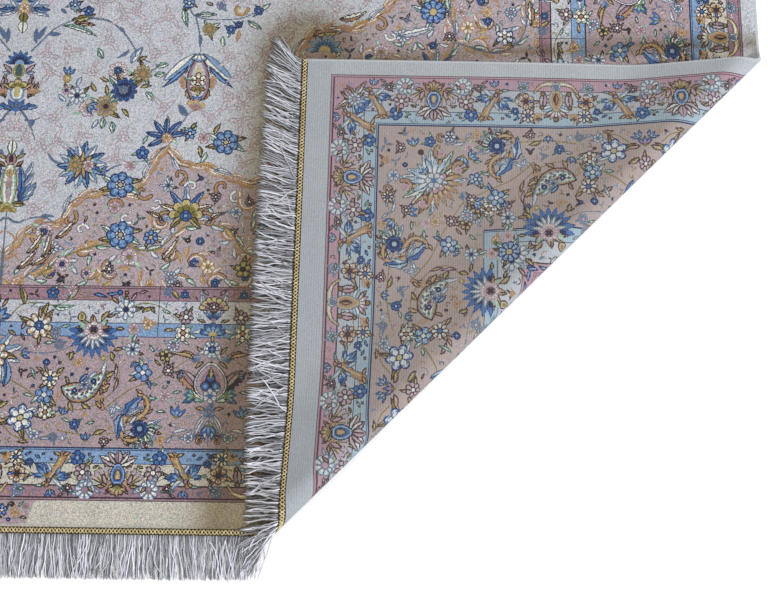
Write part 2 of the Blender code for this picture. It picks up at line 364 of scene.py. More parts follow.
    def leaf(self, kind, x, y, length, width, turn=0.0, bend=0.0, teeth=0):
        """A leaf from its foot at a spot. bend carries its tip sideways by that share of its length, and
        teeth notch its edge."""
        rim, left, right = LEAVES[kind]
        view, across, up = self.place(x, y, length * (1 + abs(bend)) + 1, turn)
        share = np.clip(up / length, 0, 1)
        mid = across - bend * length * share**2
        half = width / 2 * np.sin(np.pi * share) ** 0.8
        if teeth:
            half = half * (0.7 + 0.3 * np.abs(np.sin(np.pi * teeth * share)))
        inside = (up > 0) & (up < length) & (np.abs(mid) < half)
        view[inside & (mid < 0)] = left
        view[inside & (mid >= 0)] = right
        if rim is not None:
            view[inside & (np.abs(mid) > half - RIM)] = rim
            if width > 5:
                view[inside & (np.abs(mid) < RIM / 2) & (share < 0.85)] = rim

    def whorl(self, x, y, kinds, turns, length, width, bend=0.0, teeth=0):
        """Leaves of some kinds in turn, which stand round a spot."""
        for i, turn in enumerate(turns):
            self.leaf(kinds[i % len(kinds)], x, y, length, width, turn, bend, teeth)

    def leaves(self, kind, spots, length, width, bend=0.0, teeth=0):
        """Leaves of one kind and size at some spots, each with its turn."""
        for x, y, turn in spots:
            self.leaf(kind, x, y, length, width, turn, bend, teeth)

    def bulb(self, x, y, wide, high, yarns):
        """A rounded bud or bell from its foot at a spot. yarns are its rim, skin, flesh and stone."""
        rim, skin, flesh, stone = yarns
        view, across, up = self.place(x, y, max(wide, high) + 1)
        share = np.clip(up / high, 0, 1)
        half = wide / 2 * np.sin(np.pi * share**0.8) ** 0.6
        inside = (up > 0) & (up < high) & (np.abs(across) < half)
        depth = np.minimum(half - np.abs(across), np.minimum(up, high - up))
        view[inside] = skin
        view[inside & (depth > wide * 0.17)] = flesh
        view[inside & (depth > wide * 0.3)] = stone
        view[inside & (depth < RIM)] = rim

    def tulip(self, x, y, size, turn=0.0, yarns=(NAVY, BLUE, SKY, OLIVE)):
        """A tulip seen from the side, from its foot."""
        self.fan(x, y, size, 3, yarns, turn, 95, True, 0.4, 0.25)

    def sprig(self, kind, x, y, length, turn):
        """A pair of small leaves that part from a spot."""
        for flip in (1, -1):
            self.leaf(kind, x, y, length, length * 0.36, flip * 34 + turn, flip * 0.2)

    def garland(self, points, kinds, length, width, step, lean=28, bend=0.35):
        """Leaves that stand off both sides of a smooth line in turn."""
        route = smooth(points)
        gone, due, count = 0.0, 0.0, 0
        for a, b in zip(route[:-1], route[1:]):
            gone += float(np.hypot(*(b - a)))
            while due <= gone:
                side = 1 if count % 2 else -1
                turn = math.degrees(math.atan2(b[0] - a[0], b[1] - a[1]))
                kind = kinds[count % len(kinds)]
                self.leaf(kind, a[0], a[1], length, width, turn + side * lean, -side * bend)
                due, count = due + step, count + 1

    def stem(self, points, yarn, thick=0.9, rim=None, tip=0.5, steps=5):
        """A smooth stem through some spots. tip is its thickness there as a share of that at its foot."""
        route = smooth([self.spot(x, y) for x, y in points], steps)
        coats = [(RIM * 0.7, rim)] if rim is not None else []
        for proud, coat in (*coats, (self.knot * 0.1, yarn)):
            for i, (a, b) in enumerate(zip(route[:-1], route[1:])):
                view, across, up = self.window(np.minimum(a, b) - thick - 1, np.maximum(a, b) + thick + 1)
                dx, dy = b - a
                share = np.clip(((across - a[0]) * dx + (up - a[1]) * dy) / (dx * dx + dy * dy + 1e-9), 0, 1)
                half = thick / 2 * (1 - (1 - tip) * (i + share) / (len(route) - 1))
                view[np.hypot(across - a[0] - share * dx, up - a[1] - share * dy) < half + proud] = coat

    def curl(self, x, y, size, yarn, turn=0.0, flip=1, thick=1.2, rim=None):
        """A tendril that winds three quarters of the way round a spot and into itself."""
        spots = []
        for i in range(13):
            way, reach = math.radians(turn) + flip * 1.5 * math.pi * i / 12, size * (1 - i / 14)
            spots.append((x + reach * math.sin(way), y + reach * math.cos(way)))
        self.stem(spots, yarn, thick, rim, steps=2 if size < 5 else 5)


def smooth(points, steps=5):
    """Points along a smooth curve through some given ones."""
    given = np.array(points, float)
    if len(given) < 3:
        return given
    ends = np.vstack([2 * given[0] - given[1], given, 2 * given[-1] - given[-2]])
    made = [given[0]]
    for a, b, c, d in zip(ends[:-3], ends[1:-2], ends[2:-1], ends[3:]):
        square, cube = 2 * a - 5 * b + 4 * c - d, 3 * b - a - 3 * c + d
        for t in (i / steps for i in range(1, steps + 1)):
            made.append(0.5 * (2 * b + (c - a) * t + square * t**2 + cube * t**3))
    return np.array(made)


GUARD_STEP = 113.7  # mm between the outer guard's palmettes along the end
GUARD_SIDE = 110.4 / GUARD_STEP  # they stand closer along the side
BORDER_STEP = 189.0  # mm between the main border's mirror lines along the end
BORDER_SIDE = 169.0 / BORDER_STEP  # and closer along the side


def outer_guard_lotus(art, x):
    """The lotus on its blue oval that stands in the outer guard, with the roses beside it."""
    art.both([
        ("pale", 0, 53, 18, 8, 74, -0.18), ("pale", 0, 53, 15, 7, 38), ("olive", 0, 45, 17, 5, 66, -0.3, 3),
        ("tan", 0, 43, 17, 6, 88, -0.2, 3), ("mint", 0, 41, 16, 6, 112, -0.1, 3),
        ("tan", 0, 40, 15, 6, 138, 0, 3), ("white", 12, 30, 10, 3.4, 80, -0.3),
        ("mint", 20, 60, 8, 3, 100, 0.3), ("stem", [(16, 52), (22, 41), (34, 40), (44, 46)], OLIVE, 0.8),
        ("navy rose", 35, 59, 6.7), ("pink rose", 30, 47, 7.8), ("sky rose", 27, 32.5, 9),
        ("olive", 38, 47, 7, 3, 120), ("olive", 22, 50, 7, 3, -60), ("mint", 36, 31, 8, 3.2, 75, 0.2),
        ("pink", 44, 29, 7, 3, 100, 0.2), ("rosy", 17, 43, 4.1), ("tan rose", 45, 60, 3.7),
        ("pink rose", 42, 34, 4.1), ("tan", 20, 30, 8, 3.4, 40), ("sky", 26, 40, 8, 3.4, 90, 0.4),
        ("dot", 25, 62, 1.6, (PLUM, PINK)), ("fan", 8, 35, 18, 6, (PLUM, LILAC, STRAW, COPPER), 16, 100),
        ("pink", 9, 36, 11, 5, 20), ("olive", 10, 35, 8, 4, 84),
    ], x)  # fmt: skip
    art.draw([
        ("pink", 0, 54, 12, 8), ("tan", 0, 38, 12, 7, 180),
        ("bulb", 0, 37, 14, 18, (NAVY, SKY, BLUE, COPPER)),
        ("bulb", 0, 40, 7, 10, (NAVY, STRAW, COPPER, STRAW)),
        ("fan", 0, 36, 9, 5, (PLUM, COPPER, STRAW, OLIVE), 180, 160),
    ], x)  # fmt: skip


def outer_guard_spray(art, x, side):
    """The slanting tan spray with blue tulips between two palmettes of the outer guard."""
    art.draw([
        ("blue", 3, 44, 17, 7, 36, 0.35, 3), ("sky", 3, 42, 14, 5, 68, 0.4),
        ("blue", 3, 44, 17, 7, -76, -0.35, 3), ("sky", 3, 42, 14, 5, -108, -0.4),
        ("stem", [(-7, 61), (-3, 52), (3, 45), (6, 36)], COPPER, 6, PLUM, 0.5),
        ("stem", [(-5, 58), (-1, 49), (4, 41)], STRAW, 1.6), ("tan", -6, 60, 8, 4, -50, -0.2),
        ("tan", -5, 60, 8, 4, 50, 0.2), ("tan", 5, 38, 8, 4, 100, 0.3), ("dot", 4, 40, 2.4, (PLUM, PINK)),
        ("tulip", 0, 41, 12, -58), ("tulip", 6, 43, 13, 50), ("sky", 2, 46, 11, 4, 22, 0.15),
        ("sky", -2, 44, 9, 3.4, -20, -0.15), ("mint", 8, 36, 9, 3, 96), ("tulip", 3, 34, 9, 188),
        ("mint", -4, 33, 7, 2.6, -110), ("blue", 12, 58, 7, 3, 60), ("dot", 10, 62, 1.6, (PLUM, PINK)),
    ], x, side)  # fmt: skip


def outer_guard_spindle(art, x):
    """The spindle palmette of the outer guard under its two wings, with brown flowers beside it."""
    art.both([
        ("stem", [(8, 50), (18, 50), (30, 52), (40, 46)], OLIVE, 0.8), ("brown six", 28, 45.5, 8.3),
        ("star", 26, 59, 6.9), ("tan rose", 17, 60, 4.2), ("white", 33, 31, 9, 3.2, -100, -0.3),
        ("sky rose", 30, 32, 5.3), ("mint", 28, 32, 8, 3, 70, 0.2), ("navy rose", 38, 55, 3.9),
        ("blue", 19, 44, 8, 3.4, 60, 0.3), ("pink", 34, 38, 7, 3, 20, 0.3), ("mint", 37, 45, 7, 2.8, 90),
        ("blue", 33, 61, 7, 3, 80, -0.2), ("olive", 12, 62, 7, 2.8, 80, 0.2), ("sky", 2, 40, 15, 8, 70, -0.2),
        ("sky", 2, 50, 12, 7, 70), ("pink", 11, 36, 17, 8, 6), ("dot", 12, 38, 2.6, (PLUM, OLIVE)),
        ("dot", 13, 51, 2.4, (PLUM, OLIVE)),
        ("stem", [(1, 29), (8, 28.5), (15, 31), (20, 37)], STRAW, 4.4, PLUM, 0.2),
        ("stem", [(2, 29), (8, 28.5), (14, 30.5)], IVORY, 1.5), ("olive", 3, 55, 10, 5, 66, -0.2),
    ], x)  # fmt: skip
    art.draw([
        ("fan", 0, 52, 12, 5, (PLUM, PINK, IVORY, COPPER), 0, 140, True), ("dot", 0, 62, 2.8, (PLUM, OLIVE)),
        ("bulb", 0, 34, 14, 21, (SLATE, STRAW, COPPER, COPPER)), ("brown", 0, 37, 12, 5),
        ("bulb", 0, 27, 9, 9, (SLATE, IVORY, SLATE, SLATE)),
    ], x)  # fmt: skip


def outer_guard(art, count, lotus_first):
    """The outer guard's palmettes and the sprays between them, from the middle of a side."""
    for i in range(count):
        x = GUARD_STEP * i
        if (i % 2 == 0) != lotus_first:
            outer_guard_spindle(art, x)
            continue
        outer_guard_lotus(art, x)
        for side in (1, -1):
            outer_guard_spray(art, x + side * 54, side)


def border_axis(art):
    """The composite blossom on the main border's mirror line, and the fork palmette of the guard within."""
    art.both([
        ("sky", 2, 146, 25, 9, 25, 0.15, 3), ("sky", 2, 146, 24, 9, 62, 0.15, 3),
        ("sky", 2, 146, 22, 9, 98, 0.15, 3), ("sky", 2, 146, 20, 9, 140, 0.15, 3),
        ("blue", 10, 118, 24, 10, 20, -0.35, 0), ("white", 7, 120, 20, 6, 14, -0.3, 0),
        ("tulip", 22, 146, 10, 75), ("olive", 10, 168, 9, 4, 120), ("slate", 0, 175, 12, 4, 60, 0.2),
        ("olive", 6, 99, 12, 5, 40, 0.25), ("tan", 4, 88, 12, 5, 65, 0.3), ("tulip", 3, 82, 10, 140),
    ])  # fmt: skip
    art.draw([
        ("star", 0, 146, 13), ("sky rose", 0, 147, 7), ("bulb", 0, 118, 12, 20, (NAVY, SKY, IVORY, COPPER)),
        ("pink rose", 0, 104, 7), ("tulip", 0, 90, 12, 180, (NAVY, BLUE, PINK, OLIVE)),
        ("bulb", 0, 168, 7, 11, (PLUM, PINK, LILAC, PLUM)),
        ("fan", 0, 178, 13, 5, (NAVY, BLUE, SKY, COPPER), 0, 190, True), ("tan", 0, 188, 13, 4),
    ])  # fmt: skip
    art.both([("tan", 3, 187, 11, 3.6, 30)])


def curled_leaf(art):
    """The great curled leaf with its notched edge and the flowers in it."""
    back = [(97, 101), (94, 110), (98, 121), (99, 132)]
    keel = [(60, 119), (64, 111), (72, 106), (83, 107), (92, 115), (98, 132)]
    art.stem(back, COPPER, 3.0, PLUM, 0.5)
    art.garland(back, ("tan", "olive"), 9, 4, 5, 40)
    art.garland(keel, ("tan", "copper", "olive"), 10, 5, 5.4, 62, 0.3)
    art.shape([*keel, (90, 129), (80, 124), (68, 122)], PLUM, COPPER)
    art.shape([(62, 118), (67, 111), (76, 109), (86, 112), (96, 129), (86, 126), (76, 121)], MINT, IVORY)
    notches = [(64, 116), (69, 112), (76, 111), (85, 114), (91, 121), (95, 128)]
    art.garland(notches, ("mint", "white"), 4.6, 2.4, 2.6, 50, 0.2)
    art.patch([(67, 117), (71, 114.5), (77, 114), (84, 117), (92, 127), (84, 124), (75, 120)], ROSE)
    art.draw([
        ("blue star", 80, 121, 5), ("berry", 88, 124, 2.8), ("berry", 72, 116, 2.6),
        ("white", 97, 128, 14, 5, -20, 0.5), ("blue", 76, 122, 11, 4.4, 20, 0.3),
        ("sky", 83, 125, 11, 4.4, 30, 0.3), ("olive", 66, 120, 9, 4, 0, -0.3),
    ])  # fmt: skip


def horned_leaf(art):
    """Two blue lobes on a toothed tan swirl, with a feathered navy flower."""
    art.whorl(131, 84, ("white", "mint", "brown white"), range(60, 250, 19), 19, 6, 0.1, 3)
    upper = [(117, 93), (123, 92), (131, 95), (136, 102), (134, 110), (128, 113)]
    lower = [(117, 93), (113, 84), (116, 77), (123, 74), (130, 76)]
    for line in (upper, lower):
        art.garland(line, ("tan", "brown white", "olive"), 8, 4, 4, 50, 0.4)
        art.stem(line, COPPER, 4.6, PLUM, 0.45)
        art.stem(line, STRAW, 1.2, None, 0.5)
    art.draw([
        ("blue", 117, 94, 21, 11, 12, 0.5, 3), ("sky", 118, 94, 15, 6, 34, 0.5, 3),
        ("blue", 115, 97, 20, 10, 214, -0.5, 3), ("sky", 115, 95, 14, 5, 196, -0.5, 3),
        ("sky", 117, 98, 16, 7, -58, -0.5, 3), ("white", 107, 92, 14, 6, -20, 0.5, 3),
        ("white", 121, 86, 12, 4, 20, 0.3), ("rosette", 130, 84, 8, 7, (NAVY, BLUE, NAVY, SKY), 0, 0.3, 0.3),
    ])  # fmt: skip


def main_border_half(art):
    """Half a unit of the main border, from the mirror line to the palmette column 189 mm on."""
    # the vine's stems
    art.draw([
        ("stem", [(8, 128), (28, 118), (50, 104), (80, 100), (104, 114), (110, 132), (98, 146)], OLIVE, 1.1),
        ("stem", [(98, 100), (118, 116), (140, 126), (160, 138), (178, 150)], OLIVE, 1.0),
        ("stem", [(20, 150), (40, 148), (56, 150), (70, 156)], SLATE, 1.0),
        ("stem", [(60, 82), (84, 78), (108, 80), (130, 84), (152, 80), (176, 76)], OLIVE, 0.9),
        ("stem", [(14, 84), (24, 76), (40, 74), (58, 80)], OLIVE, 0.9),
        # beside the composite blossom
        ("six", 27, 92, 12.5, 10), ("five", 46, 112, 8.5), ("mint", 36, 110, 9, 4, -60, -0.2),
        ("star", 50, 126, 8), ("berry", 46, 140, 3.2), ("stem", [(46, 137), (48, 132)], SLATE, 0.9),
        ("olive", 55, 130, 9, 4, 40, 0.2), ("tan", 44, 132, 8, 3.6, -50, -0.2),
        ("olive", 48, 92, 10, 4.4, 60, 0.3), ("tan", 48, 96, 10, 4.4, 30, 0.2),
        ("olive", 48, 92, 10, 4.4, -60, -0.3), ("tan", 48, 96, 10, 4.4, -30, -0.2), ("green star", 48, 97, 7),
        ("tulip", 62, 94, 9, 20), ("mint", 62, 92, 9, 3.6, 95, 0.3), ("tulip", 84, 72, 9, 0),
        ("tulip", 66, 72, 8, -20, (SLATE, SKY, IVORY, PINK)), ("navy rose", 74, 87, 5),
        ("sky rose", 56, 76, 4.4), ("pink rose", 100, 73, 4.6), ("white six", 40, 78, 5),
        ("white", 44, 74, 10, 3.4, 70, 0.3), ("olive", 90, 78, 12, 5, 50, 0.35),
        ("olive", 36, 71, 10, 3.6, -70, -0.3), ("pink", 30, 126, 12, 4, 40, 0.4),
        ("mint", 32, 136, 12, 3.6, 140, 0.3), ("rosy", 36, 154, 4.6), ("mint", 42, 156, 10, 3.4, 70, 0.2),
        ("sky rose", 56, 156, 4.8), ("olive", 26, 158, 9, 3, -30), ("tan rose", 74, 140, 4),
        ("pink", 62, 146, 9, 3.4, 60, 0.3),
    ])  # fmt: skip
    curled_leaf(art)
    art.draw([
        # the half lotus that hangs into the border from the guard
        ("whorl", 85, 166, ("tan",), (-66, -40, 0), 17, 7, -0.1),
        ("whorl", 85, 166, ("tan",), (40, 66), 17, 7, 0.1),
        ("fan", 85, 166, 23, 11, (NAVY, BLUE, NAVY, STRAW), 180, 215, True, 0.32, 0.3),
        ("whorl", 85, 166, ("sky",), (100, 130, 155, 180, 205, 230, 260), 16, 4.6), ("rosy", 85, 168, 9),
        ("pink berry", 85, 169, 4), ("olive", 101, 150, 9, 5, 150, 0.2), ("olive", 69, 150, 9, 5, -150, -0.2),
        ("dot", 95, 144, 2.6, (OLIVE, STRAW)),
        # between the lotus and the palmette column
        ("blue star", 120, 152, 7), ("olive", 112, 152, 9, 4, -80, -0.3), ("mint", 120, 158, 9, 4, 10, 0.2),
        ("tulip", 122, 143, 8, 170), ("five", 130, 132, 8.4, 20), ("blue", 134, 126, 9, 4, 140, 0.3),
        ("mint", 137, 122, 7, 3, 80, 0.2), ("pink", 106, 140, 14, 4, 160, 0.4),
        ("tan", 108, 128, 12, 4, 170, 0.4), ("dark rose", 149, 147, 6, 10), ("sky rose", 155, 156, 6),
        ("mint", 140, 150, 9, 3.4, -60, 0.3), ("mint", 162, 160, 8, 3.4, 100, 0.3),
        ("pink rose", 152, 134, 5.4), ("olive", 146, 138, 9, 3.2, -60, 0.2),
        ("tan", 160, 148, 13, 5, 62, 0.5), ("tulip", 174, 140, 9, 10, (SLATE, SKY, BLUE, OLIVE)),
    ])  # fmt: skip
    horned_leaf(art)
    art.draw([
        ("tulip", 160, 92, 13, 12), ("mint", 152, 98, 9, 3.4, -70, -0.3), ("rosy", 150, 112, 5),
        ("mint", 144, 110, 9, 3.6, -100, 0.3), ("mint", 156, 114, 9, 3.6, 60, 0.3),
        ("tan rose", 148, 74, 4.2), ("white", 152, 72, 10, 3.2, 60, -0.3), ("white six", 172, 77, 5.2),
        ("white", 158, 80, 13, 4.2, 50, 0.5), ("curl", 180, 76, 4.5, COPPER, 0, 1, 1.4, PLUM),
        ("olive", 116, 76, 10, 3.4, 75, 0.2), ("mint", 128, 76, 9, 3.2, 100, 0.2),
    ])  # fmt: skip


def palmette_column(art, x=BORDER_STEP):
    """The column of palmettes on the other mirror line of the main border, through the guard within."""
    art.draw([("stem", [(0, 70), (0, 160)], SLATE, 1.0, None, 1.0)], x)
    art.both([
        ("white", 0, 98, 24, 6, 125, 0.5), ("white", 0, 92, 18, 5, 150, 0.4),
        ("mint", 4, 108, 20, 9, 72, -0.2, 4), ("blue", 12, 110, 12, 6, 90, 0.3),
        ("tulip", 12, 112, 12, 80, (TEAL, BLUE, MINT, OLIVE)), ("brown", 13, 116, 24, 13, 26, 0.35, 6),
        ("pink", 12, 118, 21, 9, 20, 0.35), ("tulip", 22, 130, 8, 80, (PLUM, BLUE, SKY, COPPER)),
        ("white", 3, 116, 24, 8, 22, -0.3), ("tan", 8, 148, 9, 4, 20, 0.3), ("tan", 15, 144, 18, 5, 50, 0.5),
        ("olive", 6, 142, 10, 4, 110, 0.3), ("blue", 2, 76, 10, 4, 60, 0.3), ("tan", 3, 100, 10, 4, 60, 0.3),
        ("curl", 7, 74, 3.6, COPPER, 0, 1, 1.2, PLUM),
        # in the inner guard
        ("white", 2, 180, 26, 7, 40, -0.35), ("olive", 6, 176, 9, 3.4, 60, 0.2),
        ("white", 4, 168, 15, 5, 70, 0.5), ("pink", 5, 200, 8, 3.6, 30, 0.3),
    ], x)  # fmt: skip
    art.draw([
        ("bulb", 0, 109, 30, 33, (PLUM, IVORY, IVORY, IVORY)),
        ("bulb", 0, 110.5, 26.5, 29.5, (SLATE, ROSE, PINK, PLUM)), ("dot", 0, 128, 4.2, (NAVY, BLUE)),
        ("dot", 0, 128, 1.5, (None, SKY)), ("dot", -4.6, 121, 4.2, (NAVY, BLUE)),
        ("dot", -4.6, 121, 1.5, (None, SKY)), ("dot", 4.6, 121, 4.2, (NAVY, BLUE)),
        ("dot", 4.6, 121, 1.5, (None, SKY)), ("olive", 0, 126, 12, 5), ("white six", 0, 112.5, 7),
        ("sky rose", 0, 99, 5.2), ("tulip", 0, 90, 14, 180), ("sky rose", 0, 153, 8.5), ("berry", 0, 153, 4),
        ("tan", 0, 158, 8, 4), ("fan", 0, 165, 12, 5, (NAVY, BLUE, SKY, STRAW), 0, 180),
        ("fan", 0, 176, 13, 5, (NAVY, SKY, BLUE, PINK), 0, 100, True),
        ("fan", 0, 186, 14, 7, (PLUM, STRAW, PINK, OLIVE), 0, 170, False, 0.2, 0.3), ("pink rose", 0, 190, 5),
    ], x)  # fmt: skip


def inner_guard_half(art):
    """Half a unit of the inner guard."""
    art.draw([
        ("stem", [(10, 178), (20, 190), (34, 192), (50, 190), (66, 196), (90, 198), (110, 190)], OLIVE, 1.0),
        ("stem", [(104, 180), (124, 192), (142, 190), (158, 178), (172, 172)], OLIVE, 1.0),
        ("olive", 22, 190, 17, 7, 12, -0.5), ("white", 28, 188, 17, 5, 66, 0.3), ("star", 37, 172, 12.6, 12),
        ("berry", 37, 172, 4.6), ("tan", 38, 178, 11, 4, -8), ("olive", 39, 165, 11, 4, 190),
        ("mint", 48, 190, 17, 7, 120, -0.6), ("navy rose", 47, 201, 5.8), ("pink", 22, 168, 8, 4, 20),
        ("olive", 60, 196, 15, 5, 62, -0.4), ("mint", 56, 170, 9, 3.6, 60, 0.2), ("sky rose", 52, 166, 5.1),
        ("bulb", 74, 176, 8, 9, (PLUM, OLIVE, STRAW, OLIVE)), ("tan", 91, 176, 12, 5, 20, 0.3),
        ("rosy", 64, 204, 4.6), ("blue", 82, 200, 13, 4, 84, 0.3), ("blue", 94, 201, 12, 4, 100, -0.3),
        ("blue star", 112, 187, 9.8), ("tan", 106, 192, 10, 4, -50), ("pink", 116, 194, 10, 4, 30),
        ("tan", 104, 183, 9, 3.6, -110), ("olive", 126, 184, 12, 5, 40, 0.5),
        ("olive", 132, 190, 9, 3.4, 120, 0.3), ("rosy", 120, 170, 5.8), ("tan rose", 132, 174, 5.3),
        ("olive", 112, 170, 8, 4, -90), ("pink", 122, 202, 9, 3.4, 80), ("dot", 106, 202, 2.6, (NAVY, BLUE)),
        ("dot", 112, 202, 2.0, (PLUM, COPPER)), ("stem", [(141, 208), (141, 163)], PLUM, 0.9, None, 1.0),
        ("green star", 163, 167, 8), ("olive", 158, 196, 12, 5, -28, -0.2), ("pink rose", 165, 181, 6.9),
        ("mint", 152, 184, 9, 3.4, -70), ("navy rose", 163, 201, 4.1), ("tan", 146, 168, 10, 4, 60, 0.4),
        ("sky rose", 148, 203, 4.4),
    ])  # fmt: skip


def border_corner(art):
    """The great blossom in the main border's corner, about the line from the corner inwards."""
    x, y = 567, 118
    inward, outward = -45, 135
    for side in (1, -1):
        for turn, size, kind in (
            (30, 30, "white"), (55, 34, "olive"), (78, 31, "brown white"), (100, 33, "mint"),
            (124, 30, "tan"), (148, 30, "white"), (168, 27, "sky"),
        ):  # fmt: skip
            art.leaf(kind, x, y, size, 9, inward + side * turn, side * (0.45 - turn / 260), 4)
        for turn, reach in ((70, 24), (120, 26)):
            way = math.radians(inward + side * turn)
            spot = x + reach * math.sin(way), y + reach * math.cos(way)
            art.curl(*spot, 7, COPPER, turn, side, 3, PLUM)
            art.flower("rosy", *spot, 3.6)
    art.draw([
        ("fan", x, y, 27, 7, (PLUM, COPPER, STRAW, IVORY), inward, 130, True, 0.4, 0.3),
        ("fan", x, y, 22, 7, (NAVY, SKY, IVORY, BLUE), outward, 170, True, 0.4, 0.3),
        ("fan", x, y, 13, 5, (PLUM, PINK, IVORY, OLIVE), inward, 180), ("white six", x, y, 8.5),
        ("tulip", x + 5, y - 5, 9, outward), ("pink rose", 539, 94, 5), ("white six", 571, 82, 6),
        ("navy rose", 603, 114, 5.5), ("pink rose", 597, 88, 5), ("sky rose", 536, 148, 6),
        ("five", 569, 155, 6.5), ("rosy", 598, 149, 5), ("tan rose", 529, 120, 5), ("star", 551, 77, 6),
        ("six", 608, 132, 6), ("berry", 581, 92, 2.6), ("pink berry", 593, 106, 2.8),
        ("tulip", 531, 84, 11, 225), ("tulip", 587, 148, 11, 40), ("tulip", 597, 100, 11, 100),
        ("tulip", 549, 152, 11, -20),
    ])  # fmt: skip


def guard_corner(art):
    """The slanting spray in the outer guard's corner."""
    art.draw([
        ("brown white", 642, 45, 20, 7, 195, 0.3, 3), ("tan", 642, 45, 15, 6, 163, -0.2),
        ("sky", 642, 45, 15, 5, -9, 0.2), ("olive", 642, 45, 11, 4, 35),
        ("brown white", 642, 45, 20, 7, 75, -0.3, 3), ("tan", 642, 45, 15, 6, 107, 0.2),
        ("sky", 642, 45, 15, 5, -81, -0.2), ("olive", 642, 45, 11, 4, -125), ("pink", 642, 45, 15, 7, 135),
        ("tulip", 642, 45, 15, -45), ("sky rose", 642, 45, 6.5),
    ])  # fmt: skip


def cartouche(art):
    """A panel of plain flowers in the middle of each end's plain band."""
    art.patch([(-60, 3), (34, 3), (39, 6), (44, 20), (47, 23), (40, 23.4), (-60, 23.4)], ROSE)
    art.draw([
        ("stem", [(-2, 7), (10, 10), (22, 8), (36, 9)], SLATE, 1.0), ("pink rose", 6, 12, 4.4),
        ("five", 18, 15, 5.4), ("tan rose", 29, 13, 4.2), ("rosy", 38, 18, 3.4), ("berry", 12, 20, 2.4),
        ("pink berry", 26, 20, 2.4), ("berry", 24, 7, 2.2), ("olive", 12, 8, 7, 3, 60, 0.3),
        ("mint", 10, 17, 7, 3, 10, 0.3), ("olive", 22, 18, 7, 3, 40, 0.3), ("mint", 32, 17, 7, 3, 20, 0.3),
        ("tan", 33, 9, 7, 3, 80, 0.3), ("white", 2, 19, 7, 3, 60, 0.3), ("tan", 0, 6, 7, 3, 100, 0.3),
    ])  # fmt: skip


def field_axis(art):
    """The chain of palmettes along the rug's middle line, from the border to the medallion."""
    art.draw([("stem", [(0, 208), (0, 280)], SLATE, 2.4), ("stem", [(0, 365), (0, 380)], SLATE, 1.6)])
    art.both([
        ("stem", [(2, 268), (10, 264), (20, 268), (34, 269), (44, 264)], SLATE, 2.2),
        ("stem", [(2, 256), (9, 250), (8, 240), (14, 230)], COPPER, 1.6), ("slate", 30, 269, 12, 4, 60, 0.5),
        ("blue", 9, 283.4, 34, 9, 16, -0.3, 4), ("blue", 9, 283, 30, 9, 34, -0.3, 4),
        ("blue", 9, 282.4, 24, 9, 56, -0.3, 4), ("sky", 12, 288, 16, 6, 64.4, -0.4),
        ("sky", 12, 297, 16, 6, 57.2, -0.4), ("sky", 12, 306, 16, 6, 50, -0.4),
        ("white", 3, 284, 30, 7, 12, -0.1), ("mint", 2, 284, 24, 5, 7), ("olive", 3, 280, 13, 6, 70, 0.3),
        ("olive", 4, 322, 11, 4.4, 40, 0.3), ("brown", 4, 316, 9, 5, 70, -0.3), ("slate", 8, 326, 7, 3.6, 20),
        # the pendant's stems and sides
        ("stem", [(1, 374), (9, 364), (15, 354), (20, 341)], SLATE, 2.8, None, 0.3),
        ("stem", [(10, 360), (17, 360), (22, 362)], SLATE, 2), ("slate", 14, 352, 10, 5, 10, 0.3),
        ("pink", 10, 380, 26, 8, 18, -0.25, 4), ("tan", 12, 382, 16, 7, 42, -0.3, 3),
        ("copper", 8, 386, 14, 6, 66, 0.3, 3), ("olive", 4, 388, 13, 5, 40, 0.3),
        ("pink", 6, 404, 13, 5, 26, 0.3), ("sky", 7, 404, 9, 3.6, 74), ("blue", 6, 371, 14, 8, 66, 0.3, 3),
        ("stem", [(10, 427), (20, 438), (30, 449), (46, 457), (70, 460)], SLATE, 1.6),
        ("slate", 14, 434, 16, 5, -14, 0.2), ("slate", 16, 438, 14, 5, 12, 0.2),
        ("slate", 24, 443, 12, 5, 76, 0.2), ("mint", 36, 452, 34, 7, 88, 0.35, 6),
        ("olive", 44, 458, 24, 8, 84, -0.15, 4), ("tan", 46, 455, 22, 6, 90, 0.1, 3),
        ("sky", 5, 466, 19, 7, 20, 0.3, 3), ("sky", 5, 466, 19, 7, 55, 0.3, 3),
        ("sky", 5, 466, 19, 7, 88, 0.3, 3), ("blue", 8, 470, 16, 7, 120, -0.4, 3),
    ])  # fmt: skip
    art.draw([
        ("bulb", 0, 277, 15, 46, (OLIVE, MINT, IVORY, ROSE)),
        ("fan", 0, 274, 9, 5, (OLIVE, STRAW, OLIVE, COPPER), 0, 200), ("rosy", 0, 299, 3.8),
        ("tan rose", 0, 310, 4), ("bulb", 0, 317, 11, 13, (PLUM, COPPER, PINK, PLUM)),
        ("mint", 0, 326, 17, 9), ("fan", 0, 368, 14, 5, (NAVY, BLUE, SLATE, BLUE), 0, 160, True),
        ("bulb", 0, 378, 14, 19, (SLATE, SKY, IVORY, STRAW)),
        ("fan", 0, 389, 11, 3, (PLUM, STRAW, OLIVE, STRAW), 0, 150),
        ("bulb", 0, 400, 11, 16, (OLIVE, STRAW, TEAL, TEAL)),
        ("fan", 0, 414, 14, 7, (NAVY, BLUE, NAVY, SKY), 0, 190, True), ("mint", 0, 444, 14, 10),
        ("olive", 0, 466, 12, 9, 180), ("tan rose", 0, 469, 5.5),
        ("fan", 0, 474, 12, 5, (NAVY, SKY, BLUE, STRAW), 0, 160, True),
    ])  # fmt: skip


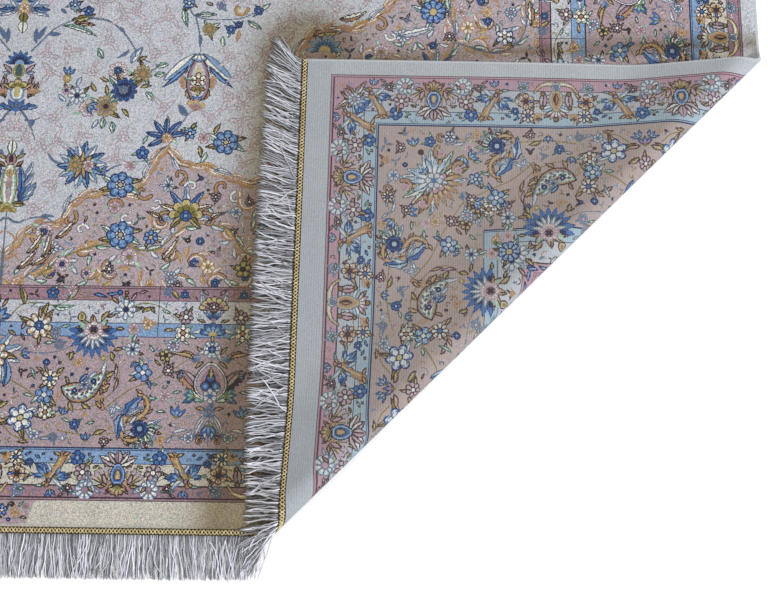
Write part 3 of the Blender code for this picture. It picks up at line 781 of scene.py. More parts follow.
def field_branch(art):
    """The branches that stand on the pale field beside the middle line, with their blossoms."""
    art.draw([
        ("stem", [(64, 460), (80, 457), (94, 446), (104, 432), (110, 422), (120, 417)], SLATE, 2.0),
        ("slate", 88, 451, 9, 4, 110, 0.3), ("sky", 102, 415, 20, 8, 20, 0.2),
        ("slate", 100, 430, 13, 4, 200, 0.6), ("curl", 123, 414, 4.5, SLATE, 200, -1, 1.2),
        ("five", 47, 473, 6), ("navy rose", 60, 467, 5.5), ("blue", 52, 466, 10, 4, 60),
        ("slate", 40, 464, 8, 4, -50),
    ])  # fmt: skip
    # the bunch under the branch's end
    spots = [(77, 420, -40), (124, 404, 70), (117, 388, 120), (80, 364, 170), (88, 360, 160), (126, 412, 60)]
    art.leaves("mint", spots, 12, 7, 0.2, 3)
    spots = [(73, 388, -50), (112, 392, 60), (84, 384, -30), (96, 372, 120), (108, 417, 40), (84, 398, -80)]
    art.leaves("olive", spots, 11, 4.6, 0.3)
    spots = [(106, 422, 20), (46, 378, -60), (54, 392, 10), (62, 380, 190), (76, 362, 200)]
    art.leaves("sky", spots, 11, 5, 0.2)
    art.draw([
        ("rosy", 91, 408, 9.5), ("navy rose", 91, 409, 4), ("gold aster", 114, 406, 9),
        ("gold aster", 82, 374, 11), ("pink berry", 82, 374, 3), ("aster", 98, 390, 12),
        ("sky rose", 97, 390, 4.5), ("rosy", 66, 372, 9), ("tulip", 64, 376, 12, 120),
        ("blue star", 55, 384, 9), ("olive", 46, 388, 9, 4, -20), ("rosy", 45, 389, 4.6),
        ("berry", 45, 389, 2), ("bulb", 45, 396, 8, 10, (OLIVE, STRAW, COPPER, STRAW)),
        ("tulip", 45, 402, 11, 10),
        # the hanging lily
        ("stem", [(160, 462), (164, 446), (166, 428)], SLATE, 1.6), ("slate", 164, 446, 13, 4, 160, 0.3),
    ])  # fmt: skip
    art.both([
        ("tan", 8, 424, 18, 8, 150, 0.3, 3), ("copper", 13, 405, 14, 8, 170, 0.2, 3),
        ("tan", 10, 392, 12, 7, 190, 0.2, 3), ("sky", 3, 427, 40, 12, 142, -0.15),
        ("blue", 9, 415, 32, 5, 144, -0.2),
    ], 165)  # fmt: skip
    art.draw([
        ("bulb", 165, 379, 22, 44, (PLUM, PINK, FIELD, STRAW)), ("green star", 165, 400, 8),
        ("fan", 165, 388, 8, 3, (PLUM, COPPER, OLIVE, COPPER), 0, 150), ("tulip", 165, 378, 9),
        ("fan", 165, 427, 10, 3, (PLUM, SKY, IVORY, SLATE), 180, 120),
        ("fan", 163, 370, 12, 3, (COPPER, STRAW, PINK, COPPER), 10, 120),
        # the branch above it
        ("stem", [(153, 474), (158, 464), (172, 460), (190, 460), (204, 462), (216, 468)], SLATE, 1.5),
        ("mint", 158, 464, 22, 6, 82, 0.1, 4), ("mint", 150, 474, 22, 7, 190, -0.3, 4),
        ("mint", 208, 460, 16, 6, 140, -0.3), ("mint", 186, 444, 12, 5, 190, -0.3),
        ("mint", 220, 468, 12, 5, 30, 0.3), ("five", 153, 476, 6), ("sky rose", 183, 474, 5),
        ("pink", 176, 474, 8, 4, -70), ("navy rose", 193, 450, 5), ("navy rose", 200, 455, 4),
        ("copper", 200, 450, 12, 5, 170, 0.3), ("navy rose", 218, 469, 5),
        ("curl", 200, 471, 8, COPPER, 90, 1, 2.2, OLIVE), ("curl", 201, 470, 4, STRAW, 150, 1, 1.8),
        ("gold aster", 173, 450, 7),
        # the roses above the spandrel
        ("stem", [(32, 330), (38, 322), (48, 318)], SLATE, 1.8, None, 1.4),
        ("stem", [(86, 312), (96, 318), (112, 322), (126, 324), (140, 338)], SLATE, 1.6),
        ("whorl", 64, 318, ("blue", "sky"), range(0, 360, 26), 23, 8, 0.15),
        ("whorl", 64, 318, ("tan",), range(0, 360, 40), 14, 5, 0.1), ("gold aster", 58, 318, 7),
        ("rosy", 70, 318, 5.5), ("tulip", 80, 314, 9, 100),
    ])  # fmt: skip
    for x, y, size in ((100, 300, 12.5), (193, 341, 12), (103, 254, 13)):
        art.whorl(x, y, ("olive", "mint"), (60, 100, 240, 280), size + 7, 7, 0.3)
        art.rosette(x, y, size, 7, (NAVY, BLUE, SKY, STRAW), 10, 0.25, 0.25)
        art.rosette(x, y, size * 0.42, 7, (NAVY, IVORY, SKY, STRAW), 35, 0.25, 0.4)
    art.draw([
        ("rosy", 108, 318, 5), ("navy rose", 118, 330, 6.5), ("mint", 118, 338, 10, 4, 10, 0.3),
        ("rosy", 173, 345, 6), ("five", 160, 349, 6), ("olive", 160, 353, 9, 4, 40),
        ("olive", 182, 348, 12, 5, 10, 0.3), ("rosy", 140, 347, 8),
        ("whorl", 139, 346, ("blue",), range(-125, 100, 40), 20, 6, 0.1), ("tan rose", 139, 345, 4.5),
        ("stem", [(146, 350), (153, 360), (158, 368), (165, 372)], SLATE, 1.5),
        ("slate", 158, 366, 14, 7, -60, 0.3), ("mint", 176, 332, 12, 5, 190, 0.3),
        ("olive", 168, 338, 12, 5, 150, 0.3),
    ])  # fmt: skip


SPANDREL_EDGE = [
    (-30, 230), (0, 234), (14, 250), (30, 262), (48, 264), (56, 280), (75, 291), (95, 292), (112, 292),
    (121, 306), (138, 334), (152, 321), (172, 318), (192, 311), (222, 304), (238, 330), (234, 370),
    (246, 410), (262, 440), (282, 452), (305, 452), (330, 468), (350, 490), (372, 520), (380, 560),
    (410, 590), (440, 600), (455, 640), (490, 662),
]  # fmt: skip


def spandrel(art):
    """The rose ground in the field's corners, with the scrolls along its edge and the blossoms inside."""
    art.patch([*SPANDREL_EDGE, (560, 600), (560, 170), (300, 170), (-30, 170)], LILAC)
    art.stem(SPANDREL_EDGE, COPPER, 3.4, PLUM, 1.0)
    art.stem(SPANDREL_EDGE, IVORY, 1.2, None, 1.0)
    kinds = ("soft tan", "soft white", "white", "copper", "soft white")
    art.garland(SPANDREL_EDGE, kinds, 17, 6, 8.5, 36, 0.6)
    for i, (x, y) in enumerate(SPANDREL_EDGE[3::2]):
        art.curl(x, y - 12, 8, COPPER, 40 * i, 1 if i % 2 else -1, 2.6, PLUM)
        art.curl(x + 12, y - 22, 6, IVORY, 70 * i, -1 if i % 2 else 1, 2, SLATE)


def spandrel_palmette(art, x, y, size, turn):
    """A palmette with feathered wings."""
    for i in range(-3, 4):
        kind = ("sky", "blue", "brown white", "sky")[abs(i)]
        art.leaf(kind, x, y, size * (1.5 - 0.1 * abs(i)), size * 0.4, turn + 27 * i, 0.12 * i, 3)
    for side in (1, -1):
        way = math.radians(turn + side * 105)
        spot = x + size * math.sin(way), y + size * math.cos(way)
        art.curl(*spot, size * 0.5, COPPER, turn - side * 60, side, 2.6, PLUM)
        art.leaf("brown white", *spot, size * 0.9, size * 0.3, turn + side * 40, side * 0.4, 3)
        art.leaf("olive", x, y, size * 0.9, size * 0.34, turn + side * 115, side * 0.3)
    art.fan(x, y, size * 0.8, 5, (PLUM, STRAW, OLIVE, COPPER), turn, 210)
    art.flower("berry", x, y, size * 0.28)


def spandrel_flowers(art):
    """What stands on the spandrel's rose ground."""
    lines = (
        [(30, 214), (60, 236), (96, 246), (134, 240), (160, 262), (196, 262), (214, 240), (250, 226)],
        [(20, 214), (40, 232), (36, 250), (22, 256)],
        [(250, 226), (290, 236), (320, 262), (322, 300), (300, 330), (270, 340)],
        [(322, 300), (360, 320), (400, 312), (440, 330), (460, 370)],
        [(300, 330), (310, 370), (340, 400), (380, 410), (400, 440), (396, 480), (420, 520), (462, 540)],
        [(440, 330), (430, 290), (400, 262), (360, 250), (330, 226)],
        [(440, 240), (460, 280), (446, 310)],
        [(400, 440), (440, 430), (464, 450), (466, 490)],
        [(264, 380), (290, 400), (290, 430)],
    )
    for i, line in enumerate(lines):
        art.stem(line, (OLIVE, SLATE, COPPER)[i % 3], 1.6, None, 0.7)
        art.garland(line, ("soft white", "soft tan", "mint", "copper", "white"), 13, 5, 9, 44, 0.6)
    for x, y, size, turn in (
        (160, 272, 20, 0), (320, 300, 20, -20), (400, 312, 19, 30), (380, 408, 18, 10), (266, 300, 17, -40),
        (440, 520, 17, 20), (290, 400, 16, 0),
    ):  # fmt: skip
        spandrel_palmette(art, x, y, size, turn)
    art.draw([
        ("rosy", 35, 256, 8.5), ("navy rose", 35, 256, 3.6), ("sky rose", 43, 242, 7), ("rosy", 53, 227, 7.5),
        ("berry", 53, 227, 2.6), ("rosy", 75, 219, 4.6), ("berry", 75, 219, 2), ("pink rose", 95, 223, 4.8),
        ("rosy", 112, 234, 8.6), ("blue rose", 130, 252, 7), ("berry", 174, 249, 4), ("rosy", 96, 279, 6),
        ("white six", 205, 276, 6), ("pink rose", 186, 290, 5), ("blue star", 143, 300, 6),
        ("dark rose", 213, 224, 8), ("tan rose", 182, 226, 7), ("sky rose", 150, 216, 6),
        ("grand aster", 236, 262, 11), ("grand aster", 280, 226, 11), ("grand aster", 350, 252, 12),
        ("blue rose", 436, 286, 9), ("rosy", 452, 232, 9), ("gold aster", 400, 234, 10),
        ("grand aster", 448, 370, 12), ("pink rose", 418, 350, 7), ("gold aster", 352, 354, 10),
        ("five", 306, 356, 8), ("rosy", 278, 352, 8), ("rosy", 332, 430, 8), ("sky rose", 352, 446, 7),
        ("grand aster", 380, 470, 12.5), ("rosy", 406, 470, 6), ("tan rose", 412, 455, 7),
        ("pink rose", 395, 446, 5), ("six", 446, 446, 9), ("sky rose", 452, 470, 6),
        ("tan rose", 430, 470, 5), ("blue rose", 456, 492, 8), ("rosy", 410, 500, 7), ("five", 426, 560, 8),
        ("rosy", 460, 570, 7), ("blue rose", 462, 610, 7), ("five", 254, 322, 7), ("rosy", 262, 420, 7),
        ("five", 420, 400, 7), ("white", 345, 446, 38, 9, 84, -0.15, 5),
        ("brown white", 470, 456, 26, 8, 10, -0.2, 4), ("tan", 268, 444, 26, 10, 60, 0.4, 5),
        ("brown white", 292, 462, 26, 9, 96, -0.4, 5),
        ("fan", 280, 430, 18, 7, (NAVY, SKY, BLUE, STRAW), 0, 200, True),
    ])  # fmt: skip
    spots = [(20, 236, 60), (24, 226, 80), (34, 232, 40), (12, 222, 70), (44, 250, 70), (140, 232, 60)]
    art.leaves("brown white", spots, 24, 8, -0.5, 5)


def medallion(art):
    """The medallion in the middle of the rug, with its pendants."""
    wide, high, middle = 330, 400, 1000  # its half width and half height, and how far up the rug it stands

    def around(share, angle):
        way = math.radians(angle)
        return share * wide * math.sin(way), middle - share * high * math.cos(way)

    scallops = [around(1 + 0.05 * math.cos(math.radians(12 * angle)), angle) for angle in range(-96, 97, 4)]
    art.patch([
        (-70, 560), (-50, 520), (-24, 500), (0, 486), (24, 500), (50, 520), (70, 560), (40, 610), (-40, 610),
    ], LILAC)  # fmt: skip
    art.patch(scallops, LILAC)
    art.garland(scallops, ("tan", "brown white", "sky", "copper"), 19, 7, 9, 34, 0.5)
    art.stem(scallops, COPPER, 4, PLUM, 1.0)
    for ring, step, kinds in ((0.8, 20, ("grand aster", "gold aster")), (0.52, 30, ("blue rose", "rosy"))):
        for i, angle in enumerate(range(-90, 91, step)):
            spandrel_palmette(art, *around(ring, angle), 24 * ring + 4, 180 - angle)
            art.flower(kinds[i % 2], *around(0.86 * ring, angle), 12 * ring + 3)
    for reach, kind, step in ((60, "sky", 15), (44, "blue", 20), (30, "brown white", 20)):
        art.whorl(0, middle, (kind,), range(0, 360, step), reach, reach * 0.24, 0.1, 4)
    art.flower("gold aster", 0, middle, 20)
    spandrel_palmette(art, 0, 540, 26, 0)
    art.flower("grand aster", 0, 576, 14)


def strew_leaves(art, grounds, places, flowers, passes):
    """Small flowers, tendrils and sprigs wherever a ground still lies bare in some places. Each pass has a
    smaller step and room than the one before, and the last one takes the smallest kinds."""
    kinds = [(flowers, SEED_LEAVES)] * (len(passes) - 1) + [(SMALL_FLOWERS, SMALL_LEAVES)]

    def draw(x, y, turn, pick):
        leaf, flower = leaves[int(pick * 997) % len(leaves)], blossoms[int(pick * 619) % len(blossoms)]
        if pick < 0.3:
            yarn = (OLIVE, COPPER, SLATE, PLUM)[int(pick * 223) % 4]
            art.curl(x, y, room * 1.15, yarn, turn, 1 if pick < 0.15 else -1, 0.7)
            art.leaf(leaf, x, y, room * 1.5, room * 0.62, turn + 120, 0.3)
        elif pick < 0.68:
            art.sprig(leaf, x, y, room * 1.6, turn)
            art.flower(flower, x, y, room * (0.4 + 0.5 * pick), turn)
        else:
            art.sprig(leaf, x, y, room * 1.4, turn)
            art.leaf(leaf, x, y, room * 1.4, room * 0.5, turn + 180, 0.3)

    for low, high in places:
        for (step, room, seed), (blossoms, leaves) in zip(passes, kinds):
            art.strew(low, high, step, room, grounds, draw, seed)


def strew_scrolls(art, low, high):
    """Coiled leaves with a blossom on the spandrels' ground."""

    def draw(x, y, turn, pick):
        flip = 1 if pick < 0.5 else -1
        art.curl(x, y, 8 + 3 * pick, COPPER, turn, flip, 2.2, None if pick % 0.3 < 0.15 else PLUM)
        art.curl(x, y, 6 + 3 * pick, IVORY, turn, flip, 0.8)
        for i in range(3):
            way = math.radians(turn + 80 * i * flip)
            spot = x + 8 * math.sin(way), y + 8 * math.cos(way)
            kind = ("soft white", "soft tan", "mint", "white")[(i + int(pick * 9)) % 4]
            art.leaf(kind, *spot, 11, 5, turn + 80 * i * flip + 50, 0.4)
        art.flower(("rosy", "tan rose", "pink rose", "navy rose")[int(pick * 50) % 4], x, y, 4.4)

    art.strew(low, high, 19, 8, (LILAC,), draw, 12)


def strew_tracery(art, low, high):
    """The faint sprays on the pale field."""

    def draw(x, y, turn, pick):
        for i in range(3):
            kind = "lilac" if pick < 0.6 else "pale lilac"
            size = 11 + 5 * ((pick * (7 + i)) % 1)
            art.leaf(kind, x, y, size, 5, turn + 120 * i + 40 * pick, 0.4 - 0.3 * i)
        art.rosette(x, y, 4 + 2 * pick, 5, (ROSE, FIELD, FIELD, FIELD), turn, 0.4)
        art.curl(x + 10 * math.cos(turn), y + 9 * math.sin(turn), 4, ROSE, turn, 1, 0.7)

    art.strew(low, high, 11, 4.6, (FIELD,), draw, 11)


# lines round the rug, from the plain bands in: x from its middle, y from its end, and the yarn inside each
LANES = (
    (665.6, 23.4, PLUM), (664.8, 24.2, PINK), (663.2, 25.6, PLUM), (662.4, 26.4, PINK), (652.6, 35.6, PLUM),
    (651.8, 36.4, CREAM), (631.6, 54.2, NAVY), (630.8, 55.0, SKY), (620.0, 65.4, NAVY), (619.2, 66.2, SKY),
    (618.4, 67.0, NAVY), (617.6, 67.8, ROSE), (521.0, 162.6, NAVY), (520.2, 163.4, SKY), (508.2, 174.6, NAVY),
    (507.4, 175.4, FIELD), (489.0, 194.8, PLUM), (488.2, 195.6, PINK), (480.6, 205.2, PLUM),
    (479.8, 206.0, PINK), (478.6, 207.2, PLUM), (477.8, 208.0, FIELD),
)  # fmt: skip
GUARD_MIRROR = 688.0  # the outer guard's diagonal meets either edge here
BORDER_MIRROR = 684.0  # and the inner lanes' diagonal here
SIDE_AXES = (304, 662, 1000)  # the main border's mirror lines up the side

# what fills bare ground
BORDER_FLOWERS = (
    "pink rose", "sky rose", "rosy", "five", "tan rose", "white six", "pink berry", "dark rose", "star",
)  # fmt: skip
SPANDREL_FLOWERS = ("rosy", "pink rose", "tan rose", "sky rose", "rosy", "berry", "star")
LANE_FLOWERS = ("pink rose", "sky rose", "rosy", "tan rose", "navy rose", "white six")
SMALL_FLOWERS = ("berry", "pink berry", "rosy", "tan rose")
SEED_LEAVES = ("mint", "olive", "white", "tan", "pink", "blue", "sky", "brown white", "dark", "slate")
SMALL_LEAVES = ("bare mint", "bare olive", "bare plum", "bare sky", "bare white", "copper", "slate")


def border_units(art, middle, deep, stretch=1.0):
    """The main border and the inner guard on both sides of a mirror line. deep is their way into the rug."""
    for way in (1, -1):
        art.lay(middle, (0, way) if deep[0] else (way, 0), deep, stretch)
        main_border_half(art)
        inner_guard_half(art)


def end_borders(art):
    """The borders along the rug's end."""
    outer_guard(art, 6, False)
    for middle in (0, 2 * BORDER_STEP):
        border_units(art, (middle, 0), (0, 1))
    art.lay()
    palmette_column(art)
    for middle in (0, 2 * BORDER_STEP):
        art.lay((middle, 0))
        border_axis(art)


def side_borders(art):
    """The same borders up the rug's side, where the guard's and the main border's steps are shorter."""
    art.lay((GUARD_MIRROR, 1000), (0, -1), (-1, 0), GUARD_SIDE)
    outer_guard(art, 9, True)
    for middle in SIDE_AXES:
        border_units(art, (BORDER_MIRROR, middle), (-1, 0), 1.0 if middle == SIDE_AXES[0] else BORDER_SIDE)
    for middle in SIDE_AXES:
        art.lay((BORDER_MIRROR, middle), (0, 1), (-1, 0))
        border_axis(art)
    for middle in (SIDE_AXES[0] + BORDER_STEP, SIDE_AXES[2] - BORDER_STEP * BORDER_SIDE):
        art.lay((BORDER_MIRROR, middle), (0, 1), (-1, 0))
        palmette_column(art, 0)


def draw_rug(art):
    """The whole quarter: the plain bands, the field with what stands on it, the borders, and the fillings."""
    band_x, band_y, _ = LANES[0]
    art.knots[round(band_y / art.knot) :, round(band_x / art.knot) :] = FIELD
    for x, y, yarn in LANES:
        art.field(x, y, yarn)
    field_x, field_y, _ = LANES[-1]
    art.keep_within(field_x, field_y)
    spandrel(art)
    strew_scrolls(art, (0, 214), (476, 1000))
    spandrel_flowers(art)
    medallion(art)
    field_axis(art)
    field_branch(art)
    strew_tracery(art, (4, 240), (474, 1000))
    places = (((0, 210), (476, 1000)),)
    strew_leaves(art, (LILAC,), places, SPANDREL_FLOWERS, ((8.6, 5.2, 13), (7.4, 3.9, 3), (5.0, 2.2, 4)))
    art.keep_within(664, 25)
    end_borders(art)
    end = art.knots.copy()
    side_borders(art)
    rows, columns = np.indices(art.knots.shape)
    mitre = (rows + columns) * art.knot < BORDER_MIRROR
    art.knots[mitre] = end[mitre]
    art.lay()
    border_corner(art)
    guard_corner(art)
    art.flower("grand aster", 499, 185, 10)
    places = ((0, 68), (620, 162)), ((522, 162), (618, 1000))
    strew_leaves(art, (ROSE,), places, BORDER_FLOWERS, ((8.2, 5.4, 15), (8.0, 4.0, 5), (5.2, 2.4, 6)))
    places = ((0, 26), (660, 66)), ((0, 164), (520, 206)), ((620, 66), (662, 1000)), ((480, 206), (520, 1000))
    passes = (7.2, 4.0, 9), (5.6, 2.9, 7), (4.0, 2.0, 8)
    strew_leaves(art, (PINK, SKY, CREAM, FIELD), places, LANE_FLOWERS, passes)
    art.keep_within(RUG_WIDTH * 500, 0)
    cartouche(art)


BUMP_HEIGHT = 0.0002  # how high the finishes' threads and knots seem to stand


def math_node(operation, reflected=False):
    """A method that puts a Math node between a number and another value, in this order or the other."""

    def method(self, other):
        values = (other, self) if reflected else (self, other)
        return self.finish.maths(operation, *values)

    return method


class Number:
    """A number that a finish works out over the surface. Sums on it add Math nodes."""

    def __init__(self, finish, socket):
        self.finish, self.socket = finish, socket

    __add__ = __radd__ = math_node("ADD")
    __sub__, __rsub__ = math_node("SUBTRACT"), math_node("SUBTRACT", True)
    __mul__ = __rmul__ = math_node("MULTIPLY")
    __truediv__, __rtruediv__ = math_node("DIVIDE"), math_node("DIVIDE", True)
    __mod__ = math_node("FLOORED_MODULO")
    __gt__, __lt__ = math_node("GREATER_THAN"), math_node("LESS_THAN")


class Finish:
    """A material under construction, with its Principled shader."""

    def __init__(self, name, **constants):
        self.material = bpy.data.materials.new(name)
        self.material.use_nodes = True
        self.tree = self.material.node_tree
        self.shader = self.tree.nodes["Principled BSDF"]
        self.drive(**constants)

    def drive(self, **inputs):
        """Sets or links sockets of the shader, with their names' blanks as underscores."""
        for name, value in inputs.items():
            self.feed(self.shader.inputs[name.replace("_", " ").title().replace("Ior", "IOR")], value)

    def feed(self, socket, value):
        if isinstance(value, Number):
            self.tree.links.new(value.socket, socket)
        else:
            socket.default_value = value

    def node(self, kind, settings, inputs, output=0):
        """Any other node: its type, its settings, then its inputs by name or place. Gives one output."""
        node = self.tree.nodes.new(kind)
        for name, value in settings.items():
            setattr(node, name, value)
        for name, value in inputs.items():
            self.feed(node.inputs[name], value)
        return Number(self, node.outputs[output])

    def maths(self, operation, *values):
        return self.node("ShaderNodeMath", {"operation": operation}, dict(enumerate(values)))

    def vector(self, operation, *values, output=0):
        return self.node("ShaderNodeVectorMath", {"operation": operation}, dict(enumerate(values)), output)

    def mix(self, share, first, second, blend="MIX"):
        """A blend of two colours."""
        settings = {"data_type": "RGBA", "blend_type": blend}
        return self.node("ShaderNodeMix", settings, {0: share, 6: first, 7: second}, 2)

    def multiplied(self, first, second):
        return self.mix(1.0, first, second, "MULTIPLY")

    def combined(self, x, y, z):
        return self.node("ShaderNodeCombineXYZ", {}, {0: x, 1: y, 2: z})

    def steps(self, share, colours):
        """The colour at a place in a row of them, with no blending between."""
        colour = self.node("ShaderNodeValToRGB", {}, {0: share})
        ramp = colour.socket.node.color_ramp
        ramp.interpolation = "CONSTANT"
        stops = ramp.elements
        while len(stops) < len(colours):
            stops.new(len(stops) / len(colours))
        for i, (stop, shown) in enumerate(zip(stops, colours)):
            stop.position, stop.color = i / len(colours), (*shown, 1)
        return colour

    def attribute(self, name, output="Vector"):
        return self.node("ShaderNodeAttribute", {"attribute_name": name}, {}, output)

    def uv(self, name):
        return self.node("ShaderNodeUVMap", {"uv_map": name}, {})

    def parts(self, vector):
        """A vector's x, y and z."""
        node = self.node("ShaderNodeSeparateXYZ", {}, {0: vector}).socket.node
        return [Number(self, out) for out in node.outputs]

    def noise(self, vector, scale, detail=2.0, roughness=0.5):
        inputs = {"Vector": vector, "Scale": scale, "Detail": detail, "Roughness": roughness}
        return self.node("ShaderNodeTexNoise", {}, inputs)

    def grain(self, scale):
        """Noise that is laid through the object, for the finishes of thread."""
        return self.noise(self.node("ShaderNodeTexCoord", {}, {}, 3), scale)

    def bump(self, height, strength):
        inputs = {"Height": height, "Distance": BUMP_HEIGHT, "Strength": strength}
        self.drive(normal=self.node("ShaderNodeBump", {}, inputs))


def linear(shown):
    """A colour as shaders want it, from one as screens show it, 0 to 255."""
    return tuple((c / 255 / 12.92 if c <= 10 else ((c / 255 + 0.055) / 1.055) ** 2.4) for c in shown)


def chosen(group):
    """A group of the sizes, lights and colours that a user would change."""
    return getattr(bpy.context.scene, f"rug_{group}")


def opaque(colour):
    """A colour as a node's socket wants it."""
    return (*colour, 1)


def length(name, description, default):
    return FloatProperty(
        name=name, description=description, default=default, min=0, precision=5, unit="LENGTH"
    )


def power(name, description, default):
    return FloatProperty(name=name, description=description, default=default, min=0, unit="POWER")


def colour(name, description, shown):
    """A colour property whose default is given as screens show it, 0 to 255."""
    shown = linear(shown)
    return FloatVectorProperty(
        name=name, description=description, default=shown, size=3, min=0, max=1, subtype="COLOR"
    )


class RugFringe(bpy.types.PropertyGroup):
    """The loose threads at the rug's ends."""

    length: length("Length", "How far a thread reaches past the braid", 0.0372)
    pitch: length("Pitch", "About how far the threads of a layer stand from each other", 0.00132)
    radius: length("Radius", "The threads' mean radius", 0.0005)
    silk: colour("Silk", "The silver-white silk of the threads", (226, 229, 240))


class RugBraid(bpy.types.PropertyGroup):
    """The gold stitches that cross each other along each end."""

    pitch: length("Pitch", "The stitches' distance from each other along the end", 0.00305)
    width: length("Stitch half width", "Half of how wide a stitch is", 0.00068)
    dark_gold: colour("Dark gold", "The darker stitches", (156, 132, 90))
    light_gold: colour("Light gold", "The lighter stitches", (218, 208, 164))
    # painted shade: the near-black colour of the braid's core, which shows in the gaps between the stitches
    core: colour("Gap shade", "The dark gaps between the stitches", (22, 17, 14))


class RugYarns(bpy.types.PropertyGroup):
    """The yarns' colours on the pile and on the back."""

    __annotations__ = {
        f"{side}_{name}": colour(
            f"{name.title()}, {side}", f"The {name} yarn as the {side} shows it", shown[place]
        )
        for place, side in enumerate(("pile", "back"))
        for name, *shown in YARNS
    }

    def row(self, side):
        """One side's colours in the yarns' order."""
        return [tuple(getattr(self, f"{side}_{name}")) for name, _, _ in YARNS]


class RugStage(bpy.types.PropertyGroup):
    """The studio's light."""

    key_power: power("Key light", "The side light's power", 94)
    top_power: power("Top light", "The top light's power", 46)
    world: FloatProperty(name="Room light", description="How bright the white room is", default=0.33, min=0)
    floor: colour("Floor", "The plain floor under the rug", (252, 252, 252))


KNOTS_A_FACE = 12
FACES_WIDE, FACES_LONG = 170, 250
DIGITS = 6  # knots that one number holds
NUMBERS = KNOTS_A_FACE * KNOTS_A_FACE // DIGITS
KNOT_MM = RUG_WIDTH * 1000 / FACES_WIDE / KNOTS_A_FACE


def whole_rug(quarter):
    """The knots of the whole rug from those of its near right quarter."""
    half = np.hstack([quarter[:, ::-1], quarter])
    return np.vstack([half, half[::-1]])


def packed_knots(knots):
    """For each face of the cloth's grid, its knots as numbers of six digits, from its near left corner on."""
    faces = knots.reshape(FACES_LONG, KNOTS_A_FACE, FACES_WIDE, KNOTS_A_FACE).transpose(0, 2, 1, 3)
    digits = faces.reshape(FACES_LONG, FACES_WIDE, NUMBERS, DIGITS).astype(np.int64)
    return (digits * 16 ** np.arange(DIGITS)).sum(-1).astype(np.float32)


def knotted_grid(numbers):
    """The flat cloth as a grid, whose faces hold their knots."""
    cloth = bmesh.new()
    bmesh.ops.create_grid(cloth, x_segments=FACES_WIDE, y_segments=FACES_LONG, size=0.5, calc_uvs=False)
    bmesh.ops.scale(cloth, vec=(RUG_WIDTH, RUG_LENGTH, 1), verts=cloth.verts)
    layers = [cloth.faces.layers.float_vector.new(f"knots_{i}") for i in range(NUMBERS // 3)]
    face_uv, flat_uv, bake_uv = (cloth.loops.layers.uv.new(name) for name in ("Knots", "Flat", "OFBake"))
    step = RUG_WIDTH / FACES_WIDE
    for face in cloth.faces:
        middle = face.calc_center_median()
        column = int((middle.x + HALF_WIDTH) / step)
        row = int((middle.y + HALF_LENGTH) / step)
        held = numbers[row, column]
        for i, layer in enumerate(layers):
            face[layer] = held[3 * i : 3 * i + 3]
        for loop in face.loops:
            x, y = loop.vert.co.x + HALF_WIDTH, loop.vert.co.y + HALF_LENGTH
            loop[face_uv].uv = round(x / step - column), round(y / step - row)
            loop[flat_uv].uv = x, y
            loop[bake_uv].uv = x / RUG_WIDTH, y / RUG_LENGTH
    return cloth


def made_finer_at_the_bend(cloth, cuts):
    """Cuts up the faces that the fold bends."""
    reach = RUG_WIDTH / FACES_WIDE
    runs = ((face, (face.calc_center_median() - TURN_FOOT).dot(ACROSS)) for face in cloth.faces)
    edges = list({edge for face, run in runs if -reach < run < FOLD_RUN + reach for edge in face.edges})
    bmesh.ops.subdivide_edges(cloth, edges=edges, cuts=cuts, use_grid_fill=True)


def laid(cloth):
    """Lays flat cloth, whose vertices' z is their height on the floor, with its corner turned over."""
    for vert in cloth.verts:
        vert.co = turned(vert.co)


def in_scene(name, data):
    made = bpy.data.objects.new(name, data)
    bpy.context.scene.collection.objects.link(made)
    return made


def mesh_of(name, shape, finishes):
    """The mesh of a finished shape."""
    if not shape.faces:
        raise RuntimeError(f"{name} has no faces")
    mesh = bpy.data.meshes.new(name)
    shape.to_mesh(mesh)
    shape.free()
    for finish in finishes:
        mesh.materials.append(finish)
    return mesh


MADE = []  # the names of the pieces, in the order in which they are made


def piece(name, shape, finishes, nodes):
    """Makes the object of a finished shape, with its place in its mesh, attaches it to the root body, hides
    the CAD parts it stands for, and keeps its name.
    """
    mesh = mesh_of(name, shape, finishes)
    mesh.shade_smooth()
    made = in_scene(name, mesh)
    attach(made, "root")
    if nodes:
        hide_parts(*nodes)
    MADE.append(made.name)


KNOT_GREY = (0.26, 0.26, 0.26)  # how much the knots of one yarn differ in colour
PAINTED_SHADE_TINT = (0.44, 0.375, 0.25, 1)  # what is left of the pile's colour in the painted brown shade beside the turned corner
RIB_PITCH, WOUND_PITCH = 0.0021, 0.0016  # the ribs of the back, and the windings of the overcast edges


def floored(finish, share):
    """Which of a face's knots a place in it belongs to, counted along one side."""
    inside = finish.maths("MINIMUM", finish.maths("MAXIMUM", share, 0), 0.9999)
    return finish.maths("FLOOR", inside * KNOTS_A_FACE)


def one_of_three(finish, index):
    """A vector with 1 at the index and 0 elsewhere."""
    return finish.combined(index < 0.5, (index > 0.5) * (index < 1.5), index > 1.5)


